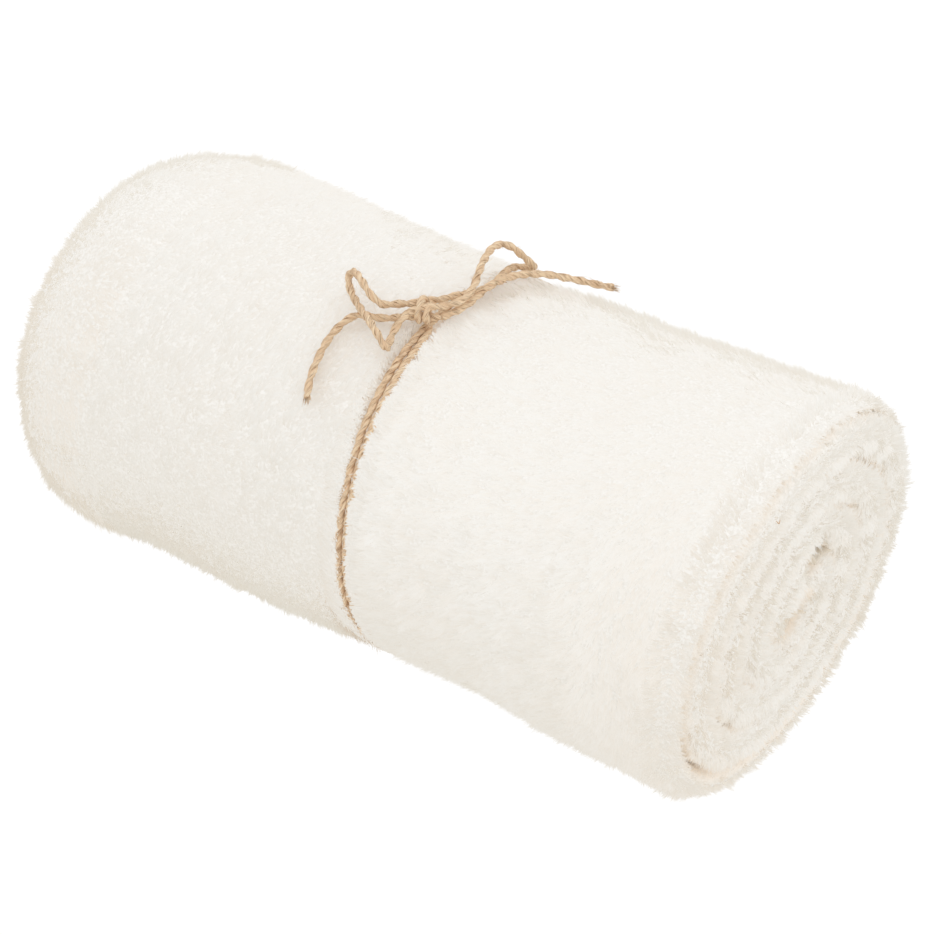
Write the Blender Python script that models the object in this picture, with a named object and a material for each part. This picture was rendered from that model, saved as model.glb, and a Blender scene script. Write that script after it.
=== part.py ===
"""A bath towel folded once along its length, rolled up and tied round the middle with plied twine.

The roll lies along X on the plane z = 0, its spiral end at +X, and its box is centred on X and Y.
Angles round the roll run from the front (-Y) over the top (+Z) to the back (+Y) and the bottom.
Units are metres.
"""

import math
from collections import namedtuple

import bmesh
import bpy
import numpy as np

COLLECTION = "rolled_bath_towel"
CUTTERS = "rolled_bath_towel_cutters"

# Main sizes of the roll
ROLL_LENGTH = 0.330
AXIS_HEIGHT = 0.0730
MIDDLE_X = -0.0019
MIDDLE_Y = -0.0014
LAYER_PITCH = 0.215
TURN_SEAM = math.radians(227)
FLAP_STEP = 0.050
CORE_RADIUS = 0.26

# Half width and half height of the roll at places along its length, as a share of the half length
Station = namedtuple("Station", "share half_width half_height")
STATIONS = (
    Station(-1.00, 0.0840, 0.0810),
    Station(-0.75, 0.0845, 0.0795),
    Station(-0.55, 0.0860, 0.0745),
    Station(-0.35, 0.0870, 0.0730),
    Station(-0.10, 0.0870, 0.0725),
    Station(0.15, 0.0855, 0.0730),
    Station(0.40, 0.0850, 0.0715),
    Station(0.70, 0.0855, 0.0765),
    Station(1.00, 0.0880, 0.0785),
)

# Rounded ends: how far the rounding reaches along the roll and in from its side
FAR_ROUNDING = (0.058, 0.60)
NEAR_ROUNDING = (0.017, 0.20)
FAR_FACE_POWER = 2.2
FAR_RIM_START = math.radians(62)
FAR_RIM_EASE = 0.78
FAR_VALLEY = 0.0050
NEAR_VALLEY = 0.0080
CROWN_POWER = 0.7
CORE_EASE = 0.6

# The waist drawn in by the tie, and how it leans
WAIST_X = 0.0180
WAIST_LEAN = 0.14
WAIST_LEAN_REACH = 0.070
NEAR_LEAN = 0.060
NEAR_LEAN_REACH = 0.050
GROOVE_DEPTH = 0.0055
GROOVE_FLOOR = 0.0036
GROOVE_TOP = 0.0110
GROOVE_EASE = 0.45
DIP_DEPTH = 0.0020
DIP_REACH = 0.030

# Two hollows among the inner folds: place across and up from the axis, radius and depth
Hollow = namedtuple("Hollow", "across up radius depth")
CORE_HOLLOWS = (
    Hollow(0.020, 0.006, 0.0105, 0.012),
    Hollow(0.010, -0.018, 0.0105, 0.012),
)

# Soft unevenness of the outside: waves along, waves round, phase and height
Swell = namedtuple("Swell", "along around phase height")
SWELLS = (
    Swell(1.5, 2, 0.4, 0.0010),
    Swell(2.5, 3, 1.9, 0.0008),
    Swell(4.0, 1, 2.7, 0.0007),
    Swell(3.0, 5, 0.9, 0.0005),
)

# Mesh steps, with the side's rows in the groove and where the others begin on each side of it
STEPS_AROUND = 72
SIDE_STEPS = 6
GROOVE_ROWS = (-0.018, -0.011, -0.0073, -0.0036, 0.0036, 0.0073, 0.011, 0.018)
GROOVE_SPAN = 0.030
FAR_FACE_STEPS = 11
NEAR_FACE_STEPS = 18
RIM_STEPS = 4
ROUTE_FINE = 24
MERGE_DISTANCE = 0.00001

# The tie: its twine, the two turns round the waist and the steps of its two-ply twist
TWINE = 0.0028
TWINE_FLAT = 0.78
TWINE_SIDES = 8
TWINE_ROUNDNESS = 2
TWIST_LAY = 0.0105
TWIST_STEP = 0.0017
TWINE_GAP = 0.0004
BAND_PITCH = 0.0032
BAND_STEPS = 156
BAND_START = math.radians(80.5)
BAND_CROSSING = math.radians(5.0)
BAND_START_TUCK = math.radians(3.5)
BAND_END_GAP = math.radians(5.5)

# Routes of the bow's free strands, from the knot outwards or round a loop back to the knot
LEFT_LOOP = (
    (-0.0014, -0.0153, 0.1504),
    (-0.0045, -0.0166, 0.1499),
    (-0.0072, -0.0188, 0.1497),
    (-0.0092, -0.0217, 0.1506),
    (-0.0111, -0.0235, 0.1530),
    (-0.0143, -0.0236, 0.1556),
    (-0.0185, -0.0216, 0.1572),
    (-0.0234, -0.0182, 0.1566),
    (-0.0277, -0.0154, 0.1543),
    (-0.0295, -0.0152, 0.1512),
    (-0.0269, -0.0180, 0.1488),
    (-0.0209, -0.0226, 0.1481),
    (-0.0131, -0.0282, 0.1491),
    (-0.0053, -0.0336, 0.1499),
    (0.0006, -0.0374, 0.1494),
    (0.0035, -0.0383, 0.1470),
    (0.0031, -0.0359, 0.1444),
    (0.0011, -0.0319, 0.1436),
    (-0.0001, -0.0282, 0.1447),
    (-0.0002, -0.0252, 0.1468),
    (0.0006, -0.0229, 0.1490),
    (0.0018, -0.0205, 0.1506),
)
LEFT_TAIL = (
    (0.0003, -0.0183, 0.1470),
    (-0.0020, -0.0196, 0.1464),
    (-0.0051, -0.0216, 0.1461),
    (-0.0084, -0.0233, 0.1457),
    (-0.0128, -0.0242, 0.1453),
    (-0.0166, -0.0252, 0.1450),
    (-0.0190, -0.0276, 0.1443),
    (-0.0203, -0.0314, 0.1433),
    (-0.0211, -0.0360, 0.1416),
    (-0.0211, -0.0409, 0.1395),
    (-0.0205, -0.0461, 0.1370),
    (-0.0195, -0.0512, 0.1341),
    (-0.0179, -0.0559, 0.1312),
    (-0.0154, -0.0605, 0.1287),
)
RIGHT_LOOP = (
    (0.0099, -0.0122, 0.1518),
    (0.0128, -0.0080, 0.1517),
    (0.0144, -0.0032, 0.1520),
    (0.0146, 0.0016, 0.1535),
    (0.0128, 0.0078, 0.1552),
    (0.0097, 0.0161, 0.1560),
    (0.0071, 0.0248, 0.1553),
    (0.0061, 0.0322, 0.1531),
    (0.0072, 0.0378, 0.1494),
    (0.0093, 0.0417, 0.1444),
    (0.0112, 0.0453, 0.1392),
    (0.0110, 0.0483, 0.1353),
    (0.0082, 0.0487, 0.1340),
    (0.0060, 0.0452, 0.1355),
    (0.0066, 0.0391, 0.1385),
    (0.0087, 0.0315, 0.1416),
    (0.0116, 0.0226, 0.1443),
    (0.0120, 0.0151, 0.1455),
    (0.0106, 0.0093, 0.1459),
    (0.0079, 0.0047, 0.1468),
    (0.0066, -0.0004, 0.1480),
    (0.0058, -0.0049, 0.1490),
)
RIGHT_TAIL = (
    (0.0112, -0.0132, 0.1482),
    (0.0132, -0.0079, 0.1482),
    (0.0145, -0.0033, 0.1484),
    (0.0150, 0.0024, 0.1488),
    (0.0148, 0.0091, 0.1490),
    (0.0150, 0.0173, 0.1480),
    (0.0163, 0.0254, 0.1464),
    (0.0185, 0.0342, 0.1434),
    (0.0221, 0.0426, 0.1396),
    (0.0271, 0.0484, 0.1367),
    (0.0326, 0.0511, 0.1358),
    (0.0381, 0.0522, 0.1360),
    (0.0439, 0.0526, 0.1369),
)

# The knot: three strands passing through it, and the turns wound round them
KNOT_CENTRE = (0.0049, -0.0149, 0.1497)
KNOT_AXIS = (0.92, 0.36, 0.12)
KNOT_TURNS = 1.6
KNOT_START = math.radians(250)
KNOT_TURN_STEPS = 14
KNOT_RADIUS = 0.0040
KNOT_PITCH = 0.0030
KNOT_STRAIGHT = 0.0012
KNOT_STEP = 0.45 * TWINE
KNOT_TUCK = 0.35
KNOT_TUCK_RATE = 5.0
KNOT_MIDDLES = (
    (0.0029, -0.0114, 0.1512),
    (0.0061, -0.0169, 0.1526),
    (0.0057, -0.0160, 0.1478),
)

CREAM = (0.86, 0.83, 0.76, 1.0)
JUTE = (0.60, 0.40, 0.22, 1.0)


def clear_scene():
    """Remove every object of the scene."""
    for item in list(bpy.data.objects):
        bpy.data.objects.remove(item, do_unlink=True)


def new_collection(name):
    """Make a collection under the scene's own."""
    group = bpy.data.collections.new(name)
    bpy.context.scene.collection.children.link(group)
    return group


def make_material(name, colour, roughness):
    """Make a plain cloth or yarn finish."""
    material = bpy.data.materials.new(name)
    material.use_nodes = True
    shader = material.node_tree.nodes["Principled BSDF"]
    shader.inputs["Base Color"].default_value = colour
    shader.inputs["Roughness"].default_value = roughness
    shader.inputs["Metallic"].default_value = 0.0
    material.diffuse_color = colour
    return material


def smooth_step(value, low, high):
    """Rise smoothly from 0 at low to 1 at high."""
    share = min(1.0, max(0.0, (value - low) / (high - low)))
    return share * share * (3 - 2 * share)


def half_sizes(x):
    """Half width and half height of the roll at x, by a smooth curve through STATIONS."""
    share = min(1.0, max(-1.0, x / (ROLL_LENGTH / 2)))
    row = 0
    while row < len(STATIONS) - 2 and share > STATIONS[row + 1].share:
        row += 1
    first, last = STATIONS[row], STATIONS[row + 1]
    blend = smooth_step(share, first.share, last.share)
    return (
        first.half_width + blend * (last.half_width - first.half_width),
        first.half_height + blend * (last.half_height - first.half_height),
    )


def turns_from_flap(angle):
    """Part of a turn between the towel's outer end and an angle, 0 to 1, against the winding."""
    return ((TURN_SEAM - angle) / (2 * math.pi)) % 1.0


def swell(x, angle):
    """Soft unevenness of the outside."""
    total = 0.0
    for wave in SWELLS:
        along = math.sin(wave.along * 2 * math.pi * x / ROLL_LENGTH + wave.phase)
        total += wave.height * along * math.cos(wave.around * angle + wave.phase)
    return total


def pressed(distance):
    """How far the tie's groove is pressed in at a distance along the roll from it, 0 to 1."""
    return 1 - smooth_step(abs(distance), GROOVE_FLOOR, GROOVE_TOP)


def waist_depth(distance, angle):
    """How far the tie draws the cloth in, at a distance along the roll from it; least under the knot."""
    groove = GROOVE_DEPTH * pressed(distance) * (1 - GROOVE_EASE * max(0.0, math.sin(angle)) ** 3)
    dip = DIP_DEPTH * math.exp(-((distance / DIP_REACH) ** 2))
    return groove + dip


def lean(x, height):
    """Shift along the roll that leans its near end and the sections near the tie."""
    tie = 1 - smooth_step(abs(x - WAIST_X), GROOVE_TOP, WAIST_LEAN_REACH)
    near = smooth_step(x, ROLL_LENGTH / 2 - NEAR_LEAN_REACH, ROLL_LENGTH / 2)
    return (NEAR_LEAN * near - WAIST_LEAN * tie) * (height - AXIS_HEIGHT)


def side_point(x, angle, share=1.0, offset=0.0):
    """A point of the roll's side, or inside it where share is under 1."""
    half_width, half_height = half_sizes(x)
    flap = FLAP_STEP * (0.5 - turns_from_flap(angle)) * (1 - pressed(x - WAIST_X))
    drawn = waist_depth(x - WAIST_X, angle)
    scale = share * (1 + flap * share)
    grow = (offset + swell(x, angle) - drawn) * share
    y = -math.cos(angle) * (half_width * scale + grow)
    z = AXIS_HEIGHT + math.sin(angle) * (half_height * scale + grow)
    return x + lean(x, z) + MIDDLE_X, y + MIDDLE_Y, z


def crown(share, angle):
    """Rounded top of the turns on an end: 1 on a crest and 0 in a valley between two turns."""
    depth = (1 - share) / LAYER_PITCH
    phase = turns_from_flap(angle)
    if depth < phase:
        return math.sin(math.pi * min(phase - depth, 0.5)) ** CROWN_POWER
    return abs(math.sin(math.pi * (depth - phase))) ** CROWN_POWER


def face_depth(share, angle, valley, y, z):
    """How far an end's surface lies in from its crests."""
    inner = smooth_step(share, CORE_RADIUS * CORE_EASE, CORE_RADIUS)
    depth = valley * (1 - crown(share, angle)) * inner
    for hollow in CORE_HOLLOWS:
        apart = math.hypot(y - MIDDLE_Y - hollow.across, z - AXIS_HEIGHT - hollow.up)
        depth += hollow.depth * math.exp(-((apart / hollow.radius) ** 2))
    return depth


def meridian():
    """Rows from the far end's middle along the side to the near end's middle.

    Each row is a place along the roll, a share of the section's size, and the end it is on.
    """
    half = ROLL_LENGTH / 2
    rows = []
    reach, inward = FAR_ROUNDING
    for step in range(1, FAR_FACE_STEPS + 1):
        share = step / (FAR_FACE_STEPS + 1)
        edge = max(0.0, (share - (1 - inward)) / inward)
        rows.append((-half + reach * (1 - math.sqrt(1 - edge**FAR_FACE_POWER)), share, "far"))
    for step in range(RIM_STEPS):
        turn = FAR_RIM_START + (math.pi / 2 - FAR_RIM_START) * step / RIM_STEPS
        along = -half + reach * (1 - math.cos(turn) * FAR_RIM_EASE)
        rows.append((along, 1 - inward * (1 - math.sin(turn)), "side"))
    span = np.concatenate(
        (
            np.linspace(-half + reach, WAIST_X - GROOVE_SPAN, SIDE_STEPS),
            WAIST_X + np.array(GROOVE_ROWS),
            np.linspace(WAIST_X + GROOVE_SPAN, half - NEAR_ROUNDING[0], SIDE_STEPS),
        )
    )
    rows.extend((float(x), 1.0, "side") for x in span)
    reach, inward = NEAR_ROUNDING
    for step in range(1, RIM_STEPS + 1):
        turn = math.radians(90 * step / (RIM_STEPS + 1))
        rows.append((half - reach * (1 - math.sin(turn)), 1 - inward * (1 - math.cos(turn)), "near"))
    for step in range(NEAR_FACE_STEPS):
        share = (1 - inward) * (1 - step / NEAR_FACE_STEPS)
        rows.append((half, share, "near"))
    return rows


def roll_point(row, angle):
    """A point of the roll's whole surface."""
    x, share, end = row
    x_side, y, z = side_point(x, angle, share)
    if end == "far":
        x_side += face_depth(share, angle, FAR_VALLEY, y, z)
    if end == "near":
        x_side -= face_depth(share, angle, NEAR_VALLEY, y, z)
    return x_side, y, max(z, 0.0)


def smooth_route(points, spacing):
    """Read evenly spaced points from a smooth curve (centripetal Catmull-Rom) through a route."""
    route = [np.array(point) for point in points]
    route = [2 * route[0] - route[1]] + route + [2 * route[-1] - route[-2]]
    fine = []
    for first, start, end, last in zip(route, route[1:], route[2:], route[3:]):
        times = [0.0]
        for low, high in ((first, start), (start, end), (end, last)):
            times.append(times[-1] + math.sqrt(np.linalg.norm(high - low)))
        for step in range(ROUTE_FINE):
            time = times[1] + (times[2] - times[1]) * step / ROUTE_FINE
            row = [first, start, end, last]
            for level in (1, 2, 3):
                row = [
                    low * ((times[k + level] - time) / (times[k + level] - times[k]))
                    + high * ((time - times[k]) / (times[k + level] - times[k]))
                    for k, (low, high) in enumerate(zip(row, row[1:]))
                ]
            fine.append(row[0])
    fine.append(route[-2])
    fine = np.array(fine)
    run = np.concatenate(([0.0], np.cumsum(np.linalg.norm(np.diff(fine, axis=0), axis=1))))
    count = max(2, round(run[-1] / spacing)) + 1
    places = np.linspace(0, run[-1], count)
    return [tuple(float(np.interp(at, run, fine[:, k])) for k in range(3)) for at in places]


def build_roll(group, material):
    """Loft the rolled towel through its rows, closed by a fan at each end."""
    rows = meridian()
    mesh = bmesh.new()
    grid = []
    for row in rows:
        ring = []
        for step in range(STEPS_AROUND):
            ring.append(mesh.verts.new(roll_point(row, TURN_SEAM + 2 * math.pi * step / STEPS_AROUND)))
        grid.append(ring)
    for first, last in zip(grid, grid[1:]):
        for step in range(STEPS_AROUND):
            after = (step + 1) % STEPS_AROUND
            mesh.faces.new((first[step], first[after], last[after], last[step]))
    for ring in (grid[0], grid[-1]):
        middle = sum((vert.co for vert in ring[1:]), ring[0].co.copy()) / STEPS_AROUND
        tip = mesh.verts.new(middle)
        for step in range(STEPS_AROUND):
            mesh.faces.new((ring[step], ring[(step + 1) % STEPS_AROUND], tip))
    bmesh.ops.recalc_face_normals(mesh, faces=mesh.faces)
    data = bpy.data.meshes.new("towel_roll")
    mesh.to_mesh(data)
    mesh.free()
    data.shade_smooth()
    data.materials.append(material)
    roll = bpy.data.objects.new("towel_roll", data)
    group.objects.link(roll)
    return roll


def two_ply_section(group):
    """An oval outline that gives the lay of two-ply twine where it turns along a strand."""
    data = bpy.data.curves.new("twine_section", "CURVE")
    data.dimensions = "2D"
    spline = data.splines.new("POLY")
    spline.points.add(TWINE_SIDES - 1)
    spline.use_cyclic_u = True
    for step, point in enumerate(spline.points):
        turn = 2 * math.pi * step / TWINE_SIDES
        radius = TWINE / 2
        point.co = (radius * math.cos(turn), radius * TWINE_FLAT * math.sin(turn), 0.0, 1.0)
    section = bpy.data.objects.new("twine_section", data)
    section.hide_render = True
    section.display_type = "WIRE"
    group.objects.link(section)
    return section


def make_strand(name, points, group, material, section=None):
    """A round strand through its points, or a twisted one where a section is given."""
    data = bpy.data.curves.new(name, "CURVE")
    data.dimensions = "3D"
    data.use_fill_caps = True
    spline = data.splines.new("POLY")
    spline.points.add(len(points) - 1)
    run = 0.0
    before = points[0]
    for point, place in zip(spline.points, points):
        run += math.dist(before, place)
        before = place
        point.co = (*place, 1.0)
        point.tilt = 2 * math.pi * run / TWIST_LAY if section else 0.0
    if section:
        data.bevel_mode = "OBJECT"
        data.bevel_object = section
    else:
        data.bevel_depth = TWINE / 2
        data.bevel_resolution = TWINE_ROUNDNESS
    data.materials.append(material)
    strand = bpy.data.objects.new(name, data)
    group.objects.link(strand)
    return strand


def band_points():
    """Two turns of twine in the waist's groove, crossing over and ending under the knot."""
    points = []
    clear = TWINE / 2 + TWINE_GAP
    for step in range(BAND_STEPS):
        share = step / (BAND_STEPS - 1)
        run = share * (4 * math.pi + BAND_START_TUCK - BAND_END_GAP) - BAND_START_TUCK
        across = smooth_step(run, 2 * math.pi - BAND_CROSSING, 2 * math.pi + BAND_CROSSING) - 0.5
        points.append(side_point(WAIST_X + across * BAND_PITCH, BAND_START - run, offset=clear))
    return points


def step_back(route, distance):
    """The point a little behind a route's first point, in line with its start."""
    first, second = np.array(route[0]), np.array(route[1])
    ahead = (second - first) / np.linalg.norm(second - first)
    return tuple(float(v) for v in first - ahead * distance)


def wrap_points():
    """Turns wound round the knot's strands, with both ends tucked in among them."""
    axis = np.array(KNOT_AXIS) / np.linalg.norm(KNOT_AXIS)
    side = np.cross(axis, (0.0, 0.0, 1.0))
    side /= np.linalg.norm(side)
    rise = np.cross(side, axis)
    steps = round(KNOT_TURNS * KNOT_TURN_STEPS)
    points = []
    for step in range(steps + 1):
        share = step / steps
        turn = KNOT_START + 2 * math.pi * KNOT_TURNS * share
        tuck = min(1.0, KNOT_TUCK + KNOT_TUCK_RATE * min(share, 1 - share))
        along = axis * KNOT_PITCH * KNOT_TURNS * (share - 0.5)
        around = (side * math.cos(turn) + rise * math.sin(turn)) * KNOT_RADIUS * tuck
        points.append(tuple(float(v) for v in np.array(KNOT_CENTRE) + along + around))
    return points


def as_mesh(strand, group):
    """Turn a strand into a closed mesh object of the same name."""
    graph = bpy.context.evaluated_depsgraph_get()
    data = bpy.data.meshes.new_from_object(strand.evaluated_get(graph))
    mesh = bmesh.new()
    mesh.from_mesh(data)
    bmesh.ops.remove_doubles(mesh, verts=mesh.verts, dist=MERGE_DISTANCE)
    bmesh.ops.recalc_face_normals(mesh, faces=mesh.faces)
    mesh.to_mesh(data)
    mesh.free()
    name = strand.name
    place = strand.matrix_world.copy()
    bpy.data.objects.remove(strand, do_unlink=True)
    piece = bpy.data.objects.new(name, data)
    piece.matrix_world = place
    group.objects.link(piece)
    return piece


def build_knot(group, cutters, material):
    """Join the knot's through strands and its wrapping turns into one solid."""
    starts = (LEFT_LOOP, LEFT_LOOP[::-1], LEFT_TAIL)
    ends = (RIGHT_LOOP[::-1], RIGHT_LOOP, RIGHT_TAIL)
    wrap = make_strand("tie_knot", wrap_points(), group, material)
    knot = as_mesh(wrap, group)
    for number, (left, middle, right) in enumerate(zip(starts, KNOT_MIDDLES, ends)):
        enter = (step_back(left, TWINE_GAP), step_back(left, TWINE_GAP + KNOT_STRAIGHT))
        leave = (step_back(right, TWINE_GAP + KNOT_STRAIGHT), step_back(right, TWINE_GAP))
        route = smooth_route((*enter, middle, *leave), KNOT_STEP)
        strand = make_strand(f"knot_strand_{number}", route, cutters, material)
        through = as_mesh(strand, cutters)
        through.hide_render = True
        through.display_type = "WIRE"
        join = knot.modifiers.new(f"strand_{number}", "BOOLEAN")
        join.operation = "UNION"
        join.solver = "EXACT"
        join.use_self = True
        join.object = through
    return knot


def build_tie(group, cutters, material):
    """Make the turns round the waist, the knot, both loops and both tails."""
    make_strand("tie_band", band_points(), group, material)
    build_knot(group, cutters, material)
    section = two_ply_section(cutters)
    routes = {
        "tie_loop_left": LEFT_LOOP,
        "tie_loop_right": RIGHT_LOOP,
        "tie_tail_left": LEFT_TAIL,
        "tie_tail_right": RIGHT_TAIL,
    }
    for name, route in routes.items():
        strand = make_strand(name, smooth_route(route, TWIST_STEP), group, material, section)
        as_mesh(strand, group)


def main():
    """Build the towel and its tie."""
    clear_scene()
    group = new_collection(COLLECTION)
    cutters = new_collection(CUTTERS)
    cream = make_material("cream_terry", CREAM, 0.95)
    jute = make_material("jute_twine", JUTE, 0.90)
    build_roll(group, cream)
    build_tie(group, cutters, jute)


main()
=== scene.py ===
"""A thick bath towel, rolled up and tied round the middle with jute twine, in plain studio light.

The roll lies along X with its spiral end at +X. Angles round it run from the front (-Y) over the top (+Z) to
the back (+Y) and the bottom. The towel's outer end lies along the lower back. All sizes are metres.
"""

import logging
import math
from abc import ABC, abstractmethod
from dataclasses import dataclass
from enum import Enum
from typing import Callable, Iterable, Sequence, Union

import bpy
import numpy as np
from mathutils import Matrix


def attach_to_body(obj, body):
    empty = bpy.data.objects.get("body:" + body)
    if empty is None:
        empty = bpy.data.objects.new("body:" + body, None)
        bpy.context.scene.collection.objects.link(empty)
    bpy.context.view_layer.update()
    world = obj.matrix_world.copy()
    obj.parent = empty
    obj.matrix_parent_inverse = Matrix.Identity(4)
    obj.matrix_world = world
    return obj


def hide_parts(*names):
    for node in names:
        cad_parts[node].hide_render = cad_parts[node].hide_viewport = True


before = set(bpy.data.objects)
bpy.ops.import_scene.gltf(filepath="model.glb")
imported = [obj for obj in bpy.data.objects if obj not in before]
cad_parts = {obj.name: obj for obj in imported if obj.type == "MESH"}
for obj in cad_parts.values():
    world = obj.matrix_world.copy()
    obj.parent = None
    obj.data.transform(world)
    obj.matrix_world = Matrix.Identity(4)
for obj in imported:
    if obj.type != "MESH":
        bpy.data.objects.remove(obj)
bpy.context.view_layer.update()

LOG = logging.getLogger("rolled_towel")
BODY = "root"
BAKE_MAP = "OFBake"
STRAND_MAP = "Strand"

Array = np.ndarray
Point = tuple[float, float, float]
Colour = tuple[float, float, float, float]


class Solid(Enum):
    """Names of the solids that the dressed pieces stand for."""

    ROLL = "towel_roll"
    BAND = "tie_band"
    KNOT = "tie_knot"
    LEFT_LOOP = "tie_loop_left"
    RIGHT_LOOP = "tie_loop_right"
    LEFT_TAIL = "tie_tail_left"
    RIGHT_TAIL = "tie_tail_right"


class Slot(Enum):
    """Names of the finishes that pieces take."""

    TERRY = "cream_terry"
    JUTE = "jute_twine"


def smooth_step(value: Array, low: Union[float, Array], high: Union[float, Array]) -> Array:
    """Rise smoothly from 0 at low to 1 at high.

    Args:
        value: Where the curve is read.
        low: Where it starts to rise.
        high: Where it reaches 1.

    Returns:
        The curve's height at each value.
    """
    share = np.clip((value - low) / (high - low), 0.0, 1.0)
    return share * share * (3 - 2 * share)


def unit(vectors: Array) -> Array:
    """Scale vectors to length 1.

    Args:
        vectors: One vector, or a row for each.

    Returns:
        The same directions with length 1.
    """
    return vectors / np.maximum(np.linalg.norm(vectors, axis=-1, keepdims=True), 1e-12)


class Ripple:
    """A smooth and seeded unevenness over two coordinates, mostly within -1 and 1."""

    def __init__(self, seed: int, shortest: float, longest: float, waves: int = 10) -> None:
        """Choose the waves.

        Args:
            seed: Picks the pattern.
            shortest: Shortest wavelength.
            longest: Longest wavelength.
            waves: How many waves are summed.
        """
        draw = np.random.default_rng(seed)
        lengths = np.exp(draw.uniform(math.log(shortest), math.log(longest), waves))
        headings = draw.uniform(0, 2 * math.pi, waves)
        self.first = 2 * math.pi * np.cos(headings) / lengths
        self.second = 2 * math.pi * np.sin(headings) / lengths
        self.phase = draw.uniform(0, 2 * math.pi, waves)
        self.gain = 1 / math.sqrt(waves)

    def __call__(self, first: Array, second: Array) -> Array:
        """Read the pattern.

        Args:
            first: First coordinate of each place.
            second: Second coordinate of each place.

        Returns:
            The height at each place.
        """
        total = np.zeros(np.broadcast(first, second).shape)
        for across, along, phase in zip(self.first, self.second, self.phase):
            total += np.sin(across * first + along * second + phase)
        return total * self.gain


@dataclass(frozen=True)
class RollSizes:
    """Driving sizes of the roll, the same as its solid's."""

    length: float = 0.330
    axis_height: float = 0.0730
    middle_x: float = -0.0019
    middle_y: float = -0.0014
    layer_pitch: float = 0.215
    turn_seam: float = math.radians(227)
    flap_step: float = 0.050
    core_radius: float = 0.26
    core_ease: float = 0.6
    shares: tuple[float, ...] = (-1.00, -0.75, -0.55, -0.35, -0.10, 0.15, 0.40, 0.70, 1.00)
    half_widths: tuple[float, ...] = (0.0840, 0.0845, 0.0860, 0.0870, 0.0870, 0.0855, 0.0850, 0.0855, 0.0880)
    half_heights: tuple[float, ...] = (0.0810, 0.0795, 0.0745, 0.0730, 0.0725, 0.0730, 0.0715, 0.0765, 0.0785)
    far_reach: float = 0.058
    far_inward: float = 0.60
    far_power: float = 2.3
    near_reach: float = 0.017
    near_inward: float = 0.20
    waist_x: float = 0.0180
    waist_lean: float = 0.14
    waist_lean_reach: float = 0.070
    near_lean: float = 0.060
    near_lean_reach: float = 0.050
    groove_depth: float = 0.0055
    groove_floor: float = 0.0036
    groove_top: float = 0.0110
    groove_ease: float = 0.45
    dip_depth: float = 0.0020
    dip_reach: float = 0.030
    swells: tuple[tuple[float, float, float, float], ...] = (
        (1.5, 2, 0.4, 0.0010),
        (2.5, 3, 1.9, 0.0008),
        (4.0, 1, 2.7, 0.0007),
        (3.0, 5, 0.9, 0.0005),
    )


class RollForm:
    """The outer form of the roll."""

    def __init__(self, sizes: RollSizes) -> None:
        """Keep the sizes.

        Args:
            sizes: Driving sizes of the roll.
        """
        self.sizes = sizes
        self.half = sizes.length / 2

    def half_sizes(self, x: Array) -> tuple[Array, Array]:
        """Half width and half height of the roll.

        Args:
            x: Places along the roll.

        Returns:
            The half width and the half height at each place.
        """
        rows = np.array(self.sizes.shares)
        share = np.clip(x / self.half, -1.0, 1.0)
        row = np.clip(np.searchsorted(rows, share) - 1, 0, len(rows) - 2)
        blend = smooth_step(share, rows[row], rows[row + 1])
        pairs = (np.array(self.sizes.half_widths), np.array(self.sizes.half_heights))
        width, height = (table[row] + blend * (table[row + 1] - table[row]) for table in pairs)
        return width, height

    def side_limits(self) -> tuple[float, float]:
        """Where the side starts and ends along the roll, between its two ends' rims."""
        return -self.half + self.sizes.far_reach, self.half - self.sizes.near_reach

    def angle_at(self, turn: Array) -> Array:
        """Angle round the roll, counted in turns from the towel's outer end."""
        return self.sizes.turn_seam - 2 * math.pi * turn

    def pressed(self, x: Array) -> Array:
        """How far the tie's groove is pressed in, 0 to 1, at each place along the roll."""
        sizes = self.sizes
        return 1 - smooth_step(np.abs(x - sizes.waist_x), sizes.groove_floor, sizes.groove_top)

    def lean(self, x: Array, height: Array) -> Array:
        """Shift along the roll that leans its near end and the sections near the tie."""
        sizes = self.sizes
        tie = 1 - smooth_step(np.abs(x - sizes.waist_x), sizes.groove_top, sizes.waist_lean_reach)
        near = smooth_step(x, self.half - sizes.near_lean_reach, self.half)
        return (sizes.near_lean * near - sizes.waist_lean * tie) * (height - sizes.axis_height)

    def side_point(self, x: Array, angle: Array, share: Array = 1.0, offset: Array = 0.0) -> Array:
        """Points of the roll's side, or inside it where share is under 1.

        Args:
            x: Places along the roll, before it leans.
            angle: Angles round the roll.
            share: Share of the section's size.
            offset: How far outside the surface.

        Returns:
            A row of three coordinates for each place.
        """
        sizes = self.sizes
        width, height = self.half_sizes(x)
        phase = ((sizes.turn_seam - angle) / (2 * math.pi)) % 1.0
        pressed = self.pressed(x)
        flap = sizes.flap_step * (0.5 - phase) * (1 - pressed)
        ease = 1 - sizes.groove_ease * np.maximum(0.0, np.sin(angle)) ** 3
        dip = sizes.dip_depth * np.exp(-(((x - sizes.waist_x) / sizes.dip_reach) ** 2))
        swell = np.zeros(np.broadcast(x, angle).shape)
        for along, around, turn, rise in sizes.swells:
            wave = np.sin(along * 2 * math.pi * x / sizes.length + turn)
            swell += rise * wave * np.cos(around * angle + turn)
        grow = (offset + swell - sizes.groove_depth * pressed * ease - dip) * share
        scale = share * (1 + flap * share)
        y = -np.cos(angle) * (width * scale + grow)
        z = sizes.axis_height + np.sin(angle) * (height * scale + grow)
        return np.stack((x + self.lean(x, z) + sizes.middle_x, y + sizes.middle_y, z), axis=-1)

    def outward(self, points: Array) -> Array:
        """Directions straight out from the roll's axis at points near its side."""
        away = points - np.array((0.0, self.sizes.middle_y, self.sizes.axis_height))
        away[:, 0] = 0.0
        return unit(away)


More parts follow.
